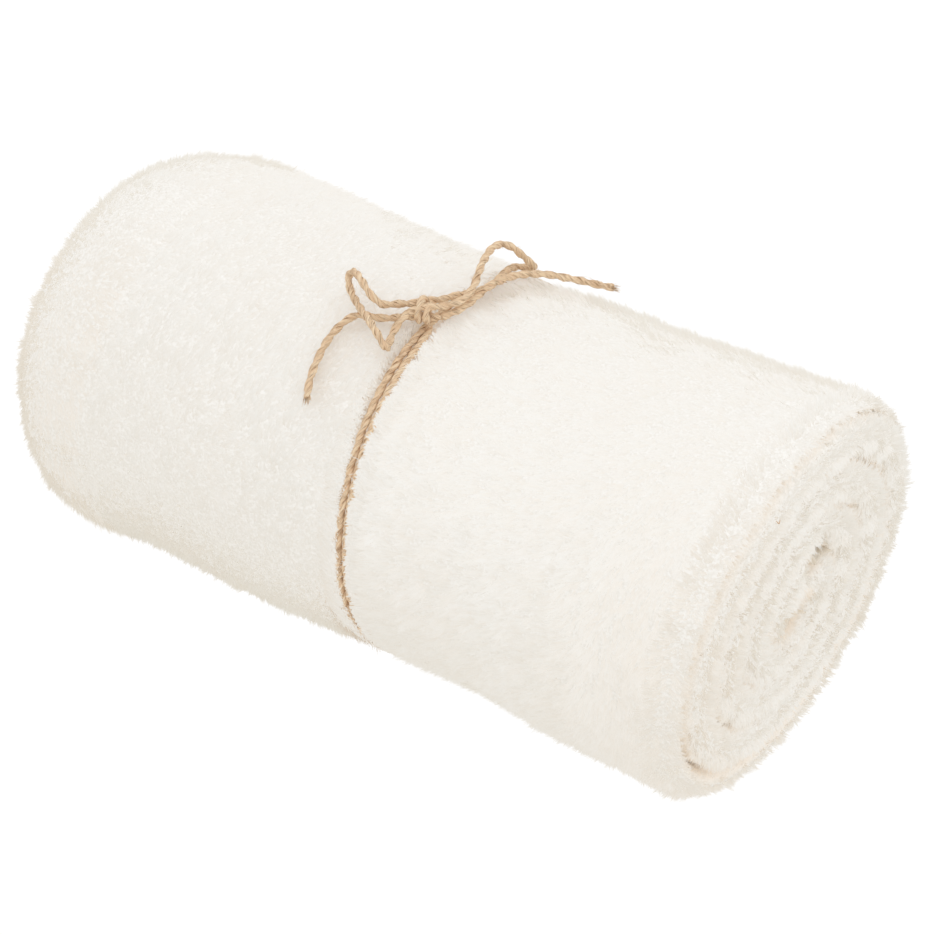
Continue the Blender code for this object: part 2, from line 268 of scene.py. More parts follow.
class Surface(ABC):
    """A stretch of the towel's skin over two parameters, the second running round the roll."""

    SEAM_GAP = 1e-6
    FIRST_READ = 2000
    SECOND_READ = 4000

    steps: tuple[int, int]
    limits: tuple[tuple[float, float], tuple[float, float]]
    outward: float

    @abstractmethod
    def place(self, first: Array, second: Array) -> Array:
        """Points of the skin at the parameters."""

    @abstractmethod
    def depth(self, first: Array, second: Array) -> Array:
        """How deep in a gap or groove the skin lies, 0 to 1, at the parameters."""

    def clipped(self, first: Array, second: Array) -> Array:
        """Points of the skin, with the parameters held inside its edges."""
        (low, high), (start, end) = self.limits
        return self.place(np.clip(first, low, high), np.clip(second, start, end))

    def directions(self, first: Array, second: Array) -> tuple[Array, Array, Array]:
        """Where the skin faces.

        Args:
            first: First parameter of each place.
            second: Second parameter of each place.

        Returns:
            The outward direction and the directions of growing first and second parameter.
        """
        (low, high), (start, end) = self.limits
        near, far = (high - low) / self.FIRST_READ, (end - start) / self.SECOND_READ
        one = self.clipped(first + near, second) - self.clipped(first - near, second)
        two = self.clipped(first, second + far) - self.clipped(first, second - far)
        normal = unit(np.cross(one, two)) * self.outward
        return normal, unit(one), unit(two)

    def scatter(
        self, density: float, draw: np.random.Generator, weight: Callable[[Array, Array], Array]
    ) -> tuple[Array, Array]:
        """Choose places spread evenly over the skin's area.

        Args:
            density: How many places for each square millimetre where the weight is 1.
            draw: Source of the random choice.
            weight: How thickly a place is covered, from its two parameters.

        Returns:
            The two parameters of each place.
        """
        (low, high), (start, end) = self.limits
        first = np.linspace(low, high, self.steps[0] + 1)
        second = np.linspace(start, end, self.steps[1] + 1)
        grid = self.place(*np.meshgrid(first, second, indexing="ij"))
        one, two = grid[1:, 1:] - grid[:-1, :-1], grid[:-1, 1:] - grid[1:, :-1]
        area = np.linalg.norm(np.cross(one, two), axis=-1) / 2
        middle = np.meshgrid((first[1:] + first[:-1]) / 2, (second[1:] + second[:-1]) / 2, indexing="ij")
        area *= weight(*middle)
        count = int(density * 1e6 * area.sum())
        cells = draw.choice(area.size, count, p=(area / area.sum()).ravel())
        rows, columns = np.unravel_index(cells, area.shape)
        across = (rows + draw.random(count)) * (high - low) / self.steps[0] + low
        along = (columns + draw.random(count)) * (end - start) / self.steps[1] + start
        return across, along


class SideSkin(Surface):
    """The roll's side. The first parameter is x, and the second the share of a turn from the outer end."""

    GROOVE_REACH = 0.0060

    def __init__(self, form: RollForm, offset: float) -> None:
        """Set the stretch of side.

        Args:
            form: The roll's form.
            offset: How far outside the form the skin lies.
        """
        self.form = form
        self.offset = offset
        self.steps = (104, 160)
        self.limits = (form.side_limits(), (0.0, 1.0))
        self.outward = -1.0

    def place(self, first: Array, second: Array) -> Array:
        """Points of the side."""
        angle = self.form.angle_at(np.clip(second, self.SEAM_GAP, 1 - self.SEAM_GAP))
        return self.form.side_point(first, angle, 1.0, self.offset)

    def depth(self, first: Array, second: Array) -> Array:
        """How deep in the waist's groove the skin lies."""
        apart = (first - self.form.sizes.waist_x) / self.GROOVE_REACH
        return np.exp(-(apart**2)) + 0 * second


@dataclass(frozen=True)
class Hollow:
    """An open pocket among the inner folds: its place, size and depth from the roll's axis."""

    across: float
    up: float
    radius: float
    depth: float


@dataclass(frozen=True)
class FaceSizes:
    """Sizes of the turns on one end of the roll."""

    round_depth: float
    gap_depth: float
    gap_start: float
    shoulder: tuple[float, float]
    rim_crest: float
    hollows: tuple[Hollow, ...]


class EndSkin(Surface):
    """One end of the roll.

    The first parameter runs across a turn, from -1 at its outer side to 1 at its inner side. The second
    counts turns from the towel's outer end inwards.
    """

    TURNS = 5.6
    CORE_END = 0.01
    OUTERMOST = (0.85, 1.25)
    VALLEY_POWER = 0.4
    ROUND_POWER = 2.4
    OUTER_GAP_WIDER = 0.22
    RIM_RISE = (0.8, 1.0)
    SHADE_START = (0.62, 0.38)
    SHADE_END = (0.98, 0.16)
    POCKET_SHADE = (0.001, 0.006)

    def __init__(self, form: RollForm, near: bool, offset: float, face: FaceSizes) -> None:
        """Set the end.

        Args:
            form: The roll's form.
            near: Whether it is the end at +X.
            offset: How far outside the form the skin lies.
            face: Sizes of its turns.
        """
        self.form = form
        self.near = near
        self.offset = offset
        self.face = face
        self.steps = (16, 940)
        self.limits = ((-1.0, 1.0), (0.0, self.TURNS))
        self.outward = -1.0 if near else 1.0
        self.profile = self.make_profile()

    def make_profile(self) -> tuple[Array, Array]:
        """Shares of the section's size, rising, and how far along the roll the end's crests lie there."""
        sizes = self.form.sizes
        if self.near:
            turn = np.linspace(math.pi / 2, 0, 14)
            share = 1 - sizes.near_inward * (1 - np.cos(turn))
            along = self.form.half - sizes.near_reach * (1 - np.sin(turn))
            return share, along
        edge = np.sin(np.linspace(0, math.pi / 2, 60))
        share = 1 - sizes.far_inward * (1 - edge)
        along = sizes.far_reach * (1 - np.sqrt(1 - edge**sizes.far_power))
        return share, along - self.form.half

    def share_at(self, first: Array, second: Array) -> tuple[Array, Array]:
        """Share of the section's size, and how wide the valley on that side of a turn's middle is, 0 to 1."""
        outer = np.maximum(second - 1, 0.0)
        depth = (outer + second) / 2 + first * (second - outer) / 2
        valley = np.where(first > 0, second, outer)
        share = 1 - self.form.sizes.layer_pitch * depth
        return (share + np.hypot(share, self.CORE_END)) / 2, np.minimum(1.0, valley) ** self.VALLEY_POWER

    def outermost(self, second: Array) -> Array:
        """1 on the outermost turn and 0 on the turns inside it."""
        return 1 - smooth_step(second, *self.OUTERMOST)

    def crest_at(self, second: Array) -> Array:
        """Where the crest of a turn is, between its sides: at the rim on the outermost turn."""
        return self.face.rim_crest * self.outermost(second)

    def edge_at(self, first: Array, second: Array) -> Array:
        """How near a place is to the gap beside its turn: 0 on the crest and 1 in the gap."""
        crest = self.crest_at(second)
        return np.abs(first - crest) / np.where(first > crest, 1 - crest, 1 + crest)

    def depth(self, first: Array, second: Array) -> Array:
        """How deep in the gap between two turns, or in a pocket, the skin lies."""
        share, width = self.share_at(first, second)
        outer = self.outermost(second)
        low, high = (start - less * outer for start, less in (self.SHADE_START, self.SHADE_END))
        near = smooth_step(self.edge_at(first, second), low, high) * width
        gap = near * (1 - smooth_step(share, *self.face.shoulder))
        return np.maximum(gap, smooth_step(self.hollow_at(self.place(first, second)), *self.POCKET_SHADE))

    def hollow_at(self, points: Array) -> Array:
        """How deep the inner pockets are at points, and 0 outside them."""
        sizes = self.form.sizes
        across, up = points[..., 1] - sizes.middle_y, points[..., 2] - sizes.axis_height
        total = np.zeros(across.shape)
        for hollow in self.face.hollows:
            apart = np.hypot(across - hollow.across, up - hollow.up)
            total += hollow.depth * np.exp(-((apart / hollow.radius) ** 4))
        return total

    def place(self, first: Array, second: Array) -> Array:
        """Points of the end."""
        sizes = self.form.sizes
        share, width = self.share_at(first, second)
        angle = self.form.angle_at(np.clip(second % 1.0, self.SEAM_GAP, 1 - self.SEAM_GAP))
        along = np.interp(share, *self.profile)
        points = self.form.side_point(along, angle, share, self.offset)
        edge = self.edge_at(first, second)
        round_off = self.face.round_depth * (1 - np.sqrt(1 - np.minimum(1.0, edge) ** self.ROUND_POWER))
        gap_start = self.face.gap_start - self.OUTER_GAP_WIDER * self.outermost(second)
        gap = self.face.gap_depth * smooth_step(edge, gap_start, 1.0)
        inner = smooth_step(share, sizes.core_radius * sizes.core_ease, sizes.core_radius)
        inner = inner * (1 - smooth_step(share, *self.face.shoulder))
        drop = (round_off + gap) * width * inner + self.hollow_at(points)
        rise = self.offset * (1 - smooth_step(share, *self.RIM_RISE))
        points[..., 0] += (rise - drop) if self.near else (drop - rise)
        return points


@dataclass(frozen=True)
class PileSizes:
    """How long, wide and upright the pile's yarns are, and how many stand in a tuft."""

    length: float
    width: float
    root_lift: float
    tip_lift: float
    tuft: int
    bent: bool
    spread: float = 0.00032
    uneven: float = 0.22
    sway: float = 0.26
    roll: float = 0.16


class MeshMaker:
    """Makes mesh objects from arrays."""

    @staticmethod
    def build(
        name: str,
        points: Array,
        faces: Sequence[Array],
        maps: dict[str, Array],
        material: bpy.types.Material,
    ) -> bpy.types.Object:
        """Make one object.

        Args:
            name: The object's name.
            points: A row for each point.
            faces: Arrays of faces, each with one number of corners.
            maps: Surface coordinates by map name, a row for each corner in the faces' order.
            material: The object's material.

        Returns:
            The object, linked to the scene.
        """
        data = bpy.data.meshes.new(name)
        corners = np.concatenate([part.ravel() for part in faces]).astype(np.int32)
        counts = np.concatenate([np.full(len(part), part.shape[1]) for part in faces]).astype(np.int32)
        starts = np.concatenate(([0], np.cumsum(counts)[:-1])).astype(np.int32)
        data.vertices.add(len(points))
        data.vertices.foreach_set("co", np.ascontiguousarray(points, dtype=np.float32).ravel())
        data.loops.add(len(corners))
        data.loops.foreach_set("vertex_index", corners)
        data.polygons.add(len(counts))
        data.polygons.foreach_set("loop_start", starts)
        data.polygons.foreach_set("loop_total", counts)
        for key, values in maps.items():
            layer = data.uv_layers.new(name=key)
            layer.data.foreach_set("uv", np.ascontiguousarray(values, dtype=np.float32).ravel())
        data.update(calc_edges=True)
        data.validate()
        data.shade_smooth()
        data.materials.append(material)
        piece = bpy.data.objects.new(name, data)
        bpy.context.scene.collection.objects.link(piece)
        return piece


def attach(piece: bpy.types.Object, slot: Slot, *solids: Solid) -> bpy.types.Object:
    """Make a piece ride with the part, and hide the solids that it stands for.

    Args:
        piece: The piece.
        slot: Not used.
        solids: The solids that it stands for, if any.

    Returns:
        The same piece.
    """
    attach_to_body(piece, BODY)
    if solids:
        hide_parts(*(solid.value for solid in solids))
    return piece


def report(*pieces: bpy.types.Object) -> None:
    """Log each piece's name and triangles."""
    for piece in pieces:
        count = len(piece.data.loops) - 2 * len(piece.data.polygons)
        LOG.info("%s: %d triangles", piece.name, count)


class Slivers:
    """Layout of thin tapering yarns and fibres: three points each, or five where they bend."""

    ROOT = ((0.2, 0.1), (0.8, 0.1))
    BEND = ((0.2, 0.5), (0.8, 0.5))
    TIP = ((0.5, 0.9),)
    LOW, HIGH = 0.1, 0.9

    def __init__(self, count: int, bent: bool) -> None:
        """Give each sliver its own cell of the bake map.

        Args:
            count: How many slivers.
            bent: Whether they bend.
        """
        self.corner = np.array(self.ROOT + self.BEND + self.TIP if bent else self.ROOT + self.TIP)
        self.faces = ([0, 1, 3, 2], [2, 3, 4]) if bent else ([0, 1, 2],)
        side = math.ceil(math.sqrt(count))
        cell = np.stack((np.arange(count) % side, np.arange(count) // side), axis=-1)
        self.cells = (cell[:, None, :] + self.corner[None]) / side
        self.height = (self.corner[:, 1] - self.LOW) / (self.HIGH - self.LOW)
        self.base = np.arange(count)[:, None] * len(self.corner)

    def build(
        self, name: str, points: Array, strand: Array, material: bpy.types.Material
    ) -> bpy.types.Object:
        """Make the slivers' piece.

        Args:
            name: The piece's name.
            points: A block of points for each sliver.
            strand: The strand map's values, in the same shape.
            material: The piece's material.

        Returns:
            The piece.
        """
        maps = {
            key: np.concatenate([values[:, face].reshape(-1, 2) for face in self.faces])
            for key, values in ((BAKE_MAP, self.cells), (STRAND_MAP, strand))
        }
        shapes = [self.base + np.array(face) for face in self.faces]
        return MeshMaker.build(name, points.reshape(-1, 3), shapes, maps, material)


class SkinBuilder:
    """Makes the towel's cloth under its pile."""

    def __init__(self, parts: Iterable[Surface], material: bpy.types.Material) -> None:
        """Keep the stretches of skin.

        Args:
            parts: The stretches of skin.
            material: The cloth's material.
        """
        self.parts = list(parts)
        self.material = material

    def build(self) -> bpy.types.Object:
        """Join the stretches into one piece."""
        points: list[Array] = []
        faces: list[Array] = []
        maps: list[Array] = []
        shades: list[Array] = []
        total = 0
        for number, part in enumerate(self.parts):
            (low, high), (start, end) = part.limits
            one = np.linspace(0, 1, part.steps[0] + 1)
            two = np.linspace(0, 1, part.steps[1] + 1)
            one, two = np.meshgrid(one, two, indexing="ij")
            inputs = (low + one * (high - low), start + two * (end - start))
            grid = part.place(*inputs)
            grid[..., 2] = np.maximum(grid[..., 2], 0.0)
            rows, columns = grid.shape[:2]
            index = np.arange(rows * columns).reshape(rows, columns) + total
            corners = (index[:-1, :-1], index[1:, :-1], index[1:, 1:], index[:-1, 1:])
            quads = np.stack(corners, axis=-1).reshape(-1, 4)
            if part.outward < 0:
                quads = quads[:, ::-1]
            flat = np.stack((one * 0.3 + 0.01 + number / 3, two), axis=-1).reshape(-1, 2)
            points.append(grid.reshape(-1, 3))
            faces.append(quads)
            # The depth of each place also masks the ground cloth's painted shade in gaps, the groove and
            # pockets.
            shade = np.stack((part.depth(*inputs), one), axis=-1).reshape(-1, 2)
            maps.append(flat[(quads - total).ravel()])
            shades.append(shade[(quads - total).ravel()])
            total += rows * columns
        joined = {BAKE_MAP: np.concatenate(maps), STRAND_MAP: np.concatenate(shades)}
        shape = (np.concatenate(points), [np.concatenate(faces)])
        return attach(MeshMaker.build("towel_skin", *shape, joined, self.material), Slot.TERRY, Solid.ROLL)


class PileBuilder:
    """Grows the pile: tufts of short yarns that lean over and taper.

    Its pieces cast no shadow and bounce no light, which stands in for the light that comes through cotton.
    """

    WIDTHS = (0.7, 1.25)
    LENGTHS = (0.45, 1.7)
    LOWEST = 0.0001
    SUNK = 0.0004
    OWN_TURN = 0.35
    LOCK_LIFT = 0.13
    OWN_LIFT = 0.06
    TIP_LIFT = 0.08

    def __init__(self, material: bpy.types.Material, seed: int) -> None:
        """Prepare for growing.

        Args:
            material: The pile's material.
            seed: Picks the random choices.
        """
        self.material = material
        self.draw = np.random.default_rng(seed)

    def grow(
        self,
        name: str,
        roots: Array,
        normals: Array,
        leans: Array,
        lengths: Array,
        tints: Array,
        sizes: PileSizes,
    ) -> bpy.types.Object:
        """Grow one piece of pile.

        Args:
            name: The piece's name.
            roots: Where each tuft stands.
            normals: Outward direction of each tuft.
            leans: Direction along the cloth that each tuft leans to.
            lengths: Each tuft's share of the pile's length.
            tints: How warm each tuft's colour is, partly at random and partly as painted shade.
            sizes: Sizes of the yarns.

        Returns:
            The piece.
        """
        draw = self.draw
        normal = np.repeat(normals, sizes.tuft, axis=0)
        count = len(normal)
        sideways = unit(np.cross(normal, np.repeat(leans, sizes.tuft, axis=0)))
        lock = np.repeat(draw.normal(0, 1, (len(normals), 2)), sizes.tuft, axis=0)
        turn = sizes.sway * (lock[:, :1] + self.OWN_TURN * draw.normal(0, 1, (count, 1)))
        lean = unit(np.cross(sideways, normal) * np.cos(turn) + sideways * np.sin(turn))
        sideways = np.cross(normal, lean)
        spread = draw.normal(0, sizes.spread, (count, 2))
        root = np.repeat(roots, sizes.tuft, axis=0) + sideways * spread[:, :1] + lean * spread[:, 1:]
        uneven = (1 + sizes.uneven * draw.normal(0, 1, count)).clip(*self.LENGTHS)
        length = sizes.length * np.repeat(lengths, sizes.tuft) * uneven
        lift = self.LOCK_LIFT * lock[:, 1] + draw.normal(0, self.OWN_LIFT, count)
        low = sizes.root_lift + lift
        high = sizes.tip_lift + lift + draw.normal(0, self.TIP_LIFT, count)
        one = lean * np.cos(low)[:, None] + normal * np.sin(low)[:, None]
        two = lean * np.cos(high)[:, None] + normal * np.sin(high)[:, None]
        roll = draw.normal(0, sizes.roll, count)[:, None]
        across = unit(sideways * np.cos(roll) + normal * np.sin(roll))
        start = root - normal * self.SUNK
        middle = start + one * length[:, None] * 0.5
        tip = middle + two * length[:, None] * 0.5
        return self.yarns(name, start, middle, tip, across, np.repeat(tints, sizes.tuft), sizes)

    def yarns(
        self,
        name: str,
        start: Array,
        middle: Array,
        tip: Array,
        across: Array,
        tint: Array,
        sizes: PileSizes,
    ) -> bpy.types.Object:
        """Make a piece of yarns, each with its own cell of the bake map.

        Args:
            name: The piece's name.
            start: Each yarn's root.
            middle: Its bend.
            tip: Its tip.
            across: Direction of its width.
            tint: How warm its colour is: at random, plus painted shade where it is added.
            sizes: Sizes of the yarns.

        Returns:
            The piece.
        """
        count = len(start)
        wide = across * (sizes.width * self.draw.uniform(*self.WIDTHS, count) / 2)[:, None]
        bend = (middle - wide, middle + wide) if sizes.bent else ()
        points = np.stack((start - wide, start + wide, *bend, tip), axis=1)
        points[..., 2] = np.maximum(points[..., 2], self.LOWEST)
        slivers = Slivers(count, sizes.bent)
        strand = np.stack(np.broadcast_arrays(tint[:, None], slivers.height[None]), axis=-1)
        piece = slivers.build(name, points, strand, self.material)
        piece.visible_shadow = False
        piece.visible_diffuse = False
        return attach(piece, Slot.TERRY)


@dataclass(frozen=True)
class NapSizes:
    """How the pile on the roll's side lies: headings in radians from the roll's line, reaches in metres."""

    thinnest: float = 0.60
    facing: float = math.radians(45)
    facing_ease: float = 0.35
    calm_reach: float = 0.010
    calm: float = 0.5
    low_front: tuple[float, float] = (0.2, 0.8)
    low_front_turn: float = 0.2
    rim: tuple[float, float] = (0.100, 0.146)
    wide_swirl: float = 0.30
    fine_swirl: float = 0.40
    near_heading: float = math.pi - 0.08
    near_rise: float = 0.9
    near_rim: float = 1.9
    far_heading: float = -0.75
    far_rise: float = 0.20
    length_wave: float = 0.16
    lengths: tuple[float, float] = (0.6, 1.5)
    cropped: float = 0.35
    crop_reach: tuple[float, float] = (0.0030, 0.0080)
    # The *_shade values below warm the pile's colour as painted shade: in the waist's groove, beside it low
    # on the front, and near the near end's rim.
    waist_shade: float = 2.4
    waist_shade_reach: float = 0.0048
    low_shade: float = 1.5
    low_shade_apart: float = 0.006
    low_shade_reach: float = 0.007
    low_heights: tuple[float, float] = (0.015, 0.090)
    rim_shade: float = 0.7


@dataclass(frozen=True)
class EndNapSizes:
    """How the pile on the roll's ends lies."""

    clear: tuple[float, float] = (0.0008, 0.0035)
    thinner: float = 0.95
    shorter: float = 0.65
    swirl: float = 0.45
    length_wave: float = 0.18
    # gap_shade and front_shade warm the pile's colour as painted shade: in the gaps between turns and in the
    # pockets, and over the end's front.
    gap_shade: float = 1.4
    front_shade: float = 0.9
    front: tuple[float, float] = (0.010, 0.060)


@dataclass(frozen=True)
class CollarSizes:
    """How the pile on both sides of the waist closes over the tie: a row for each angle round the roll.

    Each row gives the angle in degrees and how far the tips of the far side and of the near side reach
    from the groove's middle.
    """

    rows: tuple[tuple[float, float, float], ...] = (
        (-180.0, 0.0006, 0.0008),
        (-60.0, 0.0006, 0.0012),
        (-20.0, -0.0004, 0.0020),
        (-5.0, -0.0014, 0.0030),
        (10.0, -0.0018, 0.0030),
        (25.0, -0.0024, 0.0026),
        (35.0, -0.0025, 0.0029),
        (50.0, -0.0041, 0.0028),
        (62.0, -0.0047, 0.0043),
        (84.0, -0.0049, 0.0049),
        (92.0, -0.0043, 0.0017),
        (100.0, -0.0010, -0.0012),
        (180.0, 0.0006, 0.0008),
    )
    over: float = 0.0034
    over_spread: tuple[float, float] = (-0.0002, 0.0010)
    roots: tuple[float, float] = (0.0045, 0.0110)
    root_power: float = 0.8
    root_depth: float = -0.0024
    patches: tuple[tuple[float, float, float], ...] = ((0.0006, 61.0, 2.0), (0.0005, 143.0, 1.0))
    retreat_start: float = 0.0080
    retreat: float = 0.8
    retreat_drop: float = 0.3
    aside: float = 0.030
    aside_spread: float = 0.022
    aside_rate: float = 0.08
    bend_aside: float = 0.4
    bend_lift: float = 0.0014
    bend_share: float = 0.88
    twist: float = 0.25
    loose_shift: float = 0.0035
    ragged: tuple[float, float, float] = (0.0003, 0.0006, 0.0016)
    counts: tuple[int, int, int] = (10000, 10000, 70)


class TowelPile:
    """Decides where the towel's pile grows, how thick it is and which way it leans."""

    HEM_SHARE = 0.030
    ARC = 0.5
    BODY = PileSizes(0.0046, 0.00044, math.radians(42), math.radians(16), tuft=6, bent=False)
    UNDER = PileSizes(0.0030, 0.00046, math.radians(60), math.radians(40), tuft=5, bent=False)
    EDGE = PileSizes(0.0038, 0.00030, math.radians(66), math.radians(38), tuft=5, bent=True, sway=0.34)
    COLLAR = PileSizes(0.0060, 0.00044, 0.0, 0.0, tuft=1, bent=True)
    LOOSE = PileSizes(0.0060, 0.00016, 0.0, 0.0, tuft=1, bent=True)

    def __init__(self, form: RollForm, builder: PileBuilder) -> None:
        """Prepare the patterns that the pile's lean follows.

        Args:
            form: The roll's form.
            builder: Grows the pieces.
        """
        self.form = form
        self.builder = builder
        self.nap = NapSizes()
        self.draw = np.random.default_rng(41)
        self.wide = Ripple(5, 0.035, 0.120)
        self.fine = Ripple(6, 0.008, 0.022, 14)
        self.length_wave = Ripple(7, 0.006, 0.020, 14)

    def seen(self, turn: Array) -> Array:
        """How thickly a stretch round the roll is covered: most over the front and the top."""
        nap = self.nap
        facing = np.cos(self.form.angle_at(turn) - nap.facing)
        return nap.thinnest + (1 - nap.thinnest) * smooth_step(facing, -nap.facing_ease, nap.facing_ease)

    def side_rim(self, x: Array, angle: Array) -> Array:
        """How near a place is to the near end's rim, low on the front, 0 to 1."""
        nap = self.nap
        return smooth_step(x, *nap.rim) * smooth_step(np.cos(angle + nap.low_front_turn), *nap.low_front)

    def side_heading(self, x: Array, turn: Array, angle: Array) -> Array:
        """Which way the side's pile leans, as an angle from the roll's direction."""
        nap = self.nap
        arc = turn * self.ARC
        apart = x - self.form.sizes.waist_x
        calm = 1 - nap.calm * np.exp(-((apart / nap.calm_reach) ** 2))
        swirl = (nap.wide_swirl * self.wide(x, arc) + nap.fine_swirl * self.fine(x, arc)) * calm
        rise = np.clip(angle * 2 / math.pi, 0.0, 1.0)
        near = nap.near_heading - nap.near_rise * rise - nap.near_rim * self.side_rim(x, angle)
        return np.where(apart > 0, near, nap.far_heading + nap.far_rise * rise) + swirl

    def side_shade(self, x: Array, angle: Array, height: Array) -> Array:
        """How much painted shade warms the pile: in the waist's groove, beside it low on the front, and near
        the near end's rim.
        """
        nap = self.nap
        apart = x - self.form.sizes.waist_x
        low = nap.low_shade * (1 - smooth_step(height, *nap.low_heights))
        groove = nap.waist_shade * np.exp(-((apart / nap.waist_shade_reach) ** 2))
        beside = low * np.exp(-(((apart + nap.low_shade_apart) / nap.low_shade_reach) ** 2))
        return groove + beside + nap.rim_shade * self.side_rim(x, angle)

    def side(self, skin: SideSkin, density: float) -> list[bpy.types.Object]:
        """Cover the roll's side in four pieces.

        Args:
            skin: The side's skin.
            density: How many tufts stand on each square millimetre.

        Returns:
            The pieces.
        """
        nap = self.nap

        def weight(_: Array, second: Array) -> Array:
            return self.seen(second) * (second > self.HEM_SHARE)

        x, turn = skin.scatter(density, self.draw, weight)
        points = skin.place(x, turn)
        normal, along, around = skin.directions(x, turn)
        angle = self.form.angle_at(turn)
        apart = x - self.form.sizes.waist_x
        heading = self.side_heading(x, turn, angle)
        lean = along * np.cos(heading)[:, None] + around * np.sin(heading)[:, None]
        length = (1 + nap.length_wave * self.length_wave(x, turn * self.ARC)).clip(*nap.lengths)
        length = length * (nap.cropped + (1 - nap.cropped) * smooth_step(np.abs(apart), *nap.crop_reach))
        # The tint is a random tone plus painted shade in the waist's groove, beside it low down and near the
        # near rim.
        tint = self.draw.random(len(x)) + self.side_shade(x, angle, points[:, 2])
        cut = (apart > 0).astype(int) * 2 + (self.seen(turn) < (1 + nap.thinnest) / 2).astype(int)
        names = ("pile_far_front", "pile_far_back", "pile_near_front", "pile_near_back")
        pieces = []
        for number, name in enumerate(names):
            pick = cut == number
            parts = (points[pick], normal[pick], lean[pick], length[pick], tint[pick])
            pieces.append(self.builder.grow(name, *parts, self.BODY))
        return pieces

    def end(self, skin: EndSkin, density: float, sizes: PileSizes, name: str) -> bpy.types.Object:
        """Cover one end with one kind of yarn.

        Args:
            skin: The end's skin.
            density: How many tufts stand on each square millimetre.
            sizes: Sizes of the yarns.
            name: The piece's name.

        Returns:
            The piece.
        """
        nap = EndNapSizes()

        def weight(first: Array, second: Array) -> Array:
            clear = 1 - smooth_step(skin.hollow_at(skin.place(first, second)), *nap.clear)
            return clear * (1 - nap.thinner * skin.depth(first, second))

        across, turn = skin.scatter(density, self.draw, weight)
        points = skin.place(across, turn)
        normal, outward, around = skin.directions(across, turn)
        share, _ = skin.share_at(across, turn)
        inside = (across > skin.crest_at(turn)) & (share < skin.face.shoulder[1])
        heading = nap.swirl * self.fine(points[:, 1], points[:, 2])
        away = np.where(inside, 1.0, -1.0) * np.cos(heading)
        lean = outward * away[:, None] + around * np.sin(heading)[:, None]
        valley = skin.depth(across, turn)
        length = 1 + nap.length_wave * self.length_wave(points[:, 1], points[:, 2])
        length = length.clip(*self.nap.lengths) * (1 - nap.shorter * valley)
        # Painted shade: warmer pile in the gaps and pockets and over the end's front.
        shade = nap.gap_shade * valley
        front = nap.front_shade * smooth_step(-points[:, 1], *nap.front)
        tint = self.draw.random(len(across)) + shade + front
        return self.builder.grow(name, points, normal, unit(lean), length, tint, sizes)

    def collar(self, sizes: CollarSizes) -> list[bpy.types.Object]:
        """Close the pile on both sides of the waist over the tie.

        Args:
            sizes: How far it closes.

        Returns:
            The near side's piece, the far side's piece and the loose yarns that cross the tie.
        """
        draw = self.draw
        side_point = self.form.side_point
        waist = self.form.sizes.waist_x
        angle_row, far_row, near_row = (np.array(column) for column in zip(*sizes.rows))
        names = ("pile_waist_near", "pile_waist_far", "pile_waist_loose")
        sides = (1.0, -1.0, 1.0)
        reaches = (near_row, far_row, near_row - sizes.loose_shift)
        yarns = (self.COLLAR, self.COLLAR, self.LOOSE)
        pieces = []
        for name, side, reach, count, ragged, yarn in zip(
            names, sides, reaches, sizes.counts, sizes.ragged, yarns
        ):
            angle = draw.uniform(-math.pi, math.pi, count)
            back = draw.power(sizes.root_power, count)
            root_x = waist + side * (sizes.roots[0] + (sizes.roots[1] - sizes.roots[0]) * (1 - back))
            patch = sum(high * np.sin(angle * rate + turn * side) for high, rate, turn in sizes.patches)
            beyond = np.maximum(0.0, np.abs(root_x - waist) - sizes.retreat_start)
            retreat = beyond * sizes.retreat * side
            aim = np.interp(np.degrees(angle), angle_row, reach) + patch + retreat
            tip_x = waist + aim + draw.normal(0, ragged, count)
            aside = sizes.aside * self.fine(root_x, angle * sizes.aside_rate)
            aside = aside + draw.normal(0, sizes.aside_spread, count)
            start = side_point(root_x, angle, 1.0, sizes.root_depth)
            over = sizes.over + draw.uniform(*sizes.over_spread, count) - np.abs(retreat) * sizes.retreat_drop
            tip = side_point(np.full(count, waist), angle + aside, 1.0, over)
            tip[:, 0] += tip_x - waist
            lift = draw.uniform(0.0, sizes.bend_lift, count)
            raised = side_point(root_x, angle + aside * sizes.bend_aside, 1.0, lift)
            middle = raised * (1 - sizes.bend_share) + tip * sizes.bend_share
            across = unit(np.cross(tip - start, self.form.outward(start)))
            across = unit(across + draw.normal(0, sizes.twist, start.shape))
            pieces.append(
                self.builder.yarns(name, start, middle, tip, across, draw.random(count), yarn)
            )
        return pieces


@dataclass(frozen=True)
class TwineSizes:
    """Sizes of the two-ply jute twine."""

    width: float = 0.0028
    ply_radius: float = 0.00104
    ply_offset: float = 0.00050
    lay: float = 0.0125
    step: float = 0.00062
    sides: int = 10
    ridges: int = 4
    ridge_height: float = 0.00006
    ridge_lag: float = 2.5
    uneven: float = 0.00004
    uneven_rate: float = 900.0
    gap: float = 0.0004
    map_scale: float = 100.0
    map_shift: float = 17.3


@dataclass(frozen=True)
class FibreSizes:
    """Sizes of the fine fibres that stand off the twine, and of the ones at its free ends."""

    per_metre: float = 2600.0
    held_per_metre: float = 300.0
    width: float = 0.00009
    lift: tuple[float, float] = (0.10, 0.75)
    sway: float = 0.35
    curl: tuple[float, float] = (0.1, 0.3)
    curl_aside: float = 0.5
    length: tuple[float, float] = (3.0, 0.0007)
    lengths: tuple[float, float] = (0.0008, 0.0060)
    frayed: int = 46
    frayed_width: float = 0.00022
    frayed_out: tuple[float, float] = (0.0001, 0.0012)
    frayed_back: tuple[float, float] = (0.0, 0.0016)
    frayed_spread: tuple[float, float] = (0.0, 0.40)
    frayed_curl: tuple[float, float] = (-0.3, 0.7)
    frayed_length: tuple[float, float] = (0.0016, 0.0048)
    sunk: float = 0.0003
    turned: float = 0.2
    map_scale: float = 40.0


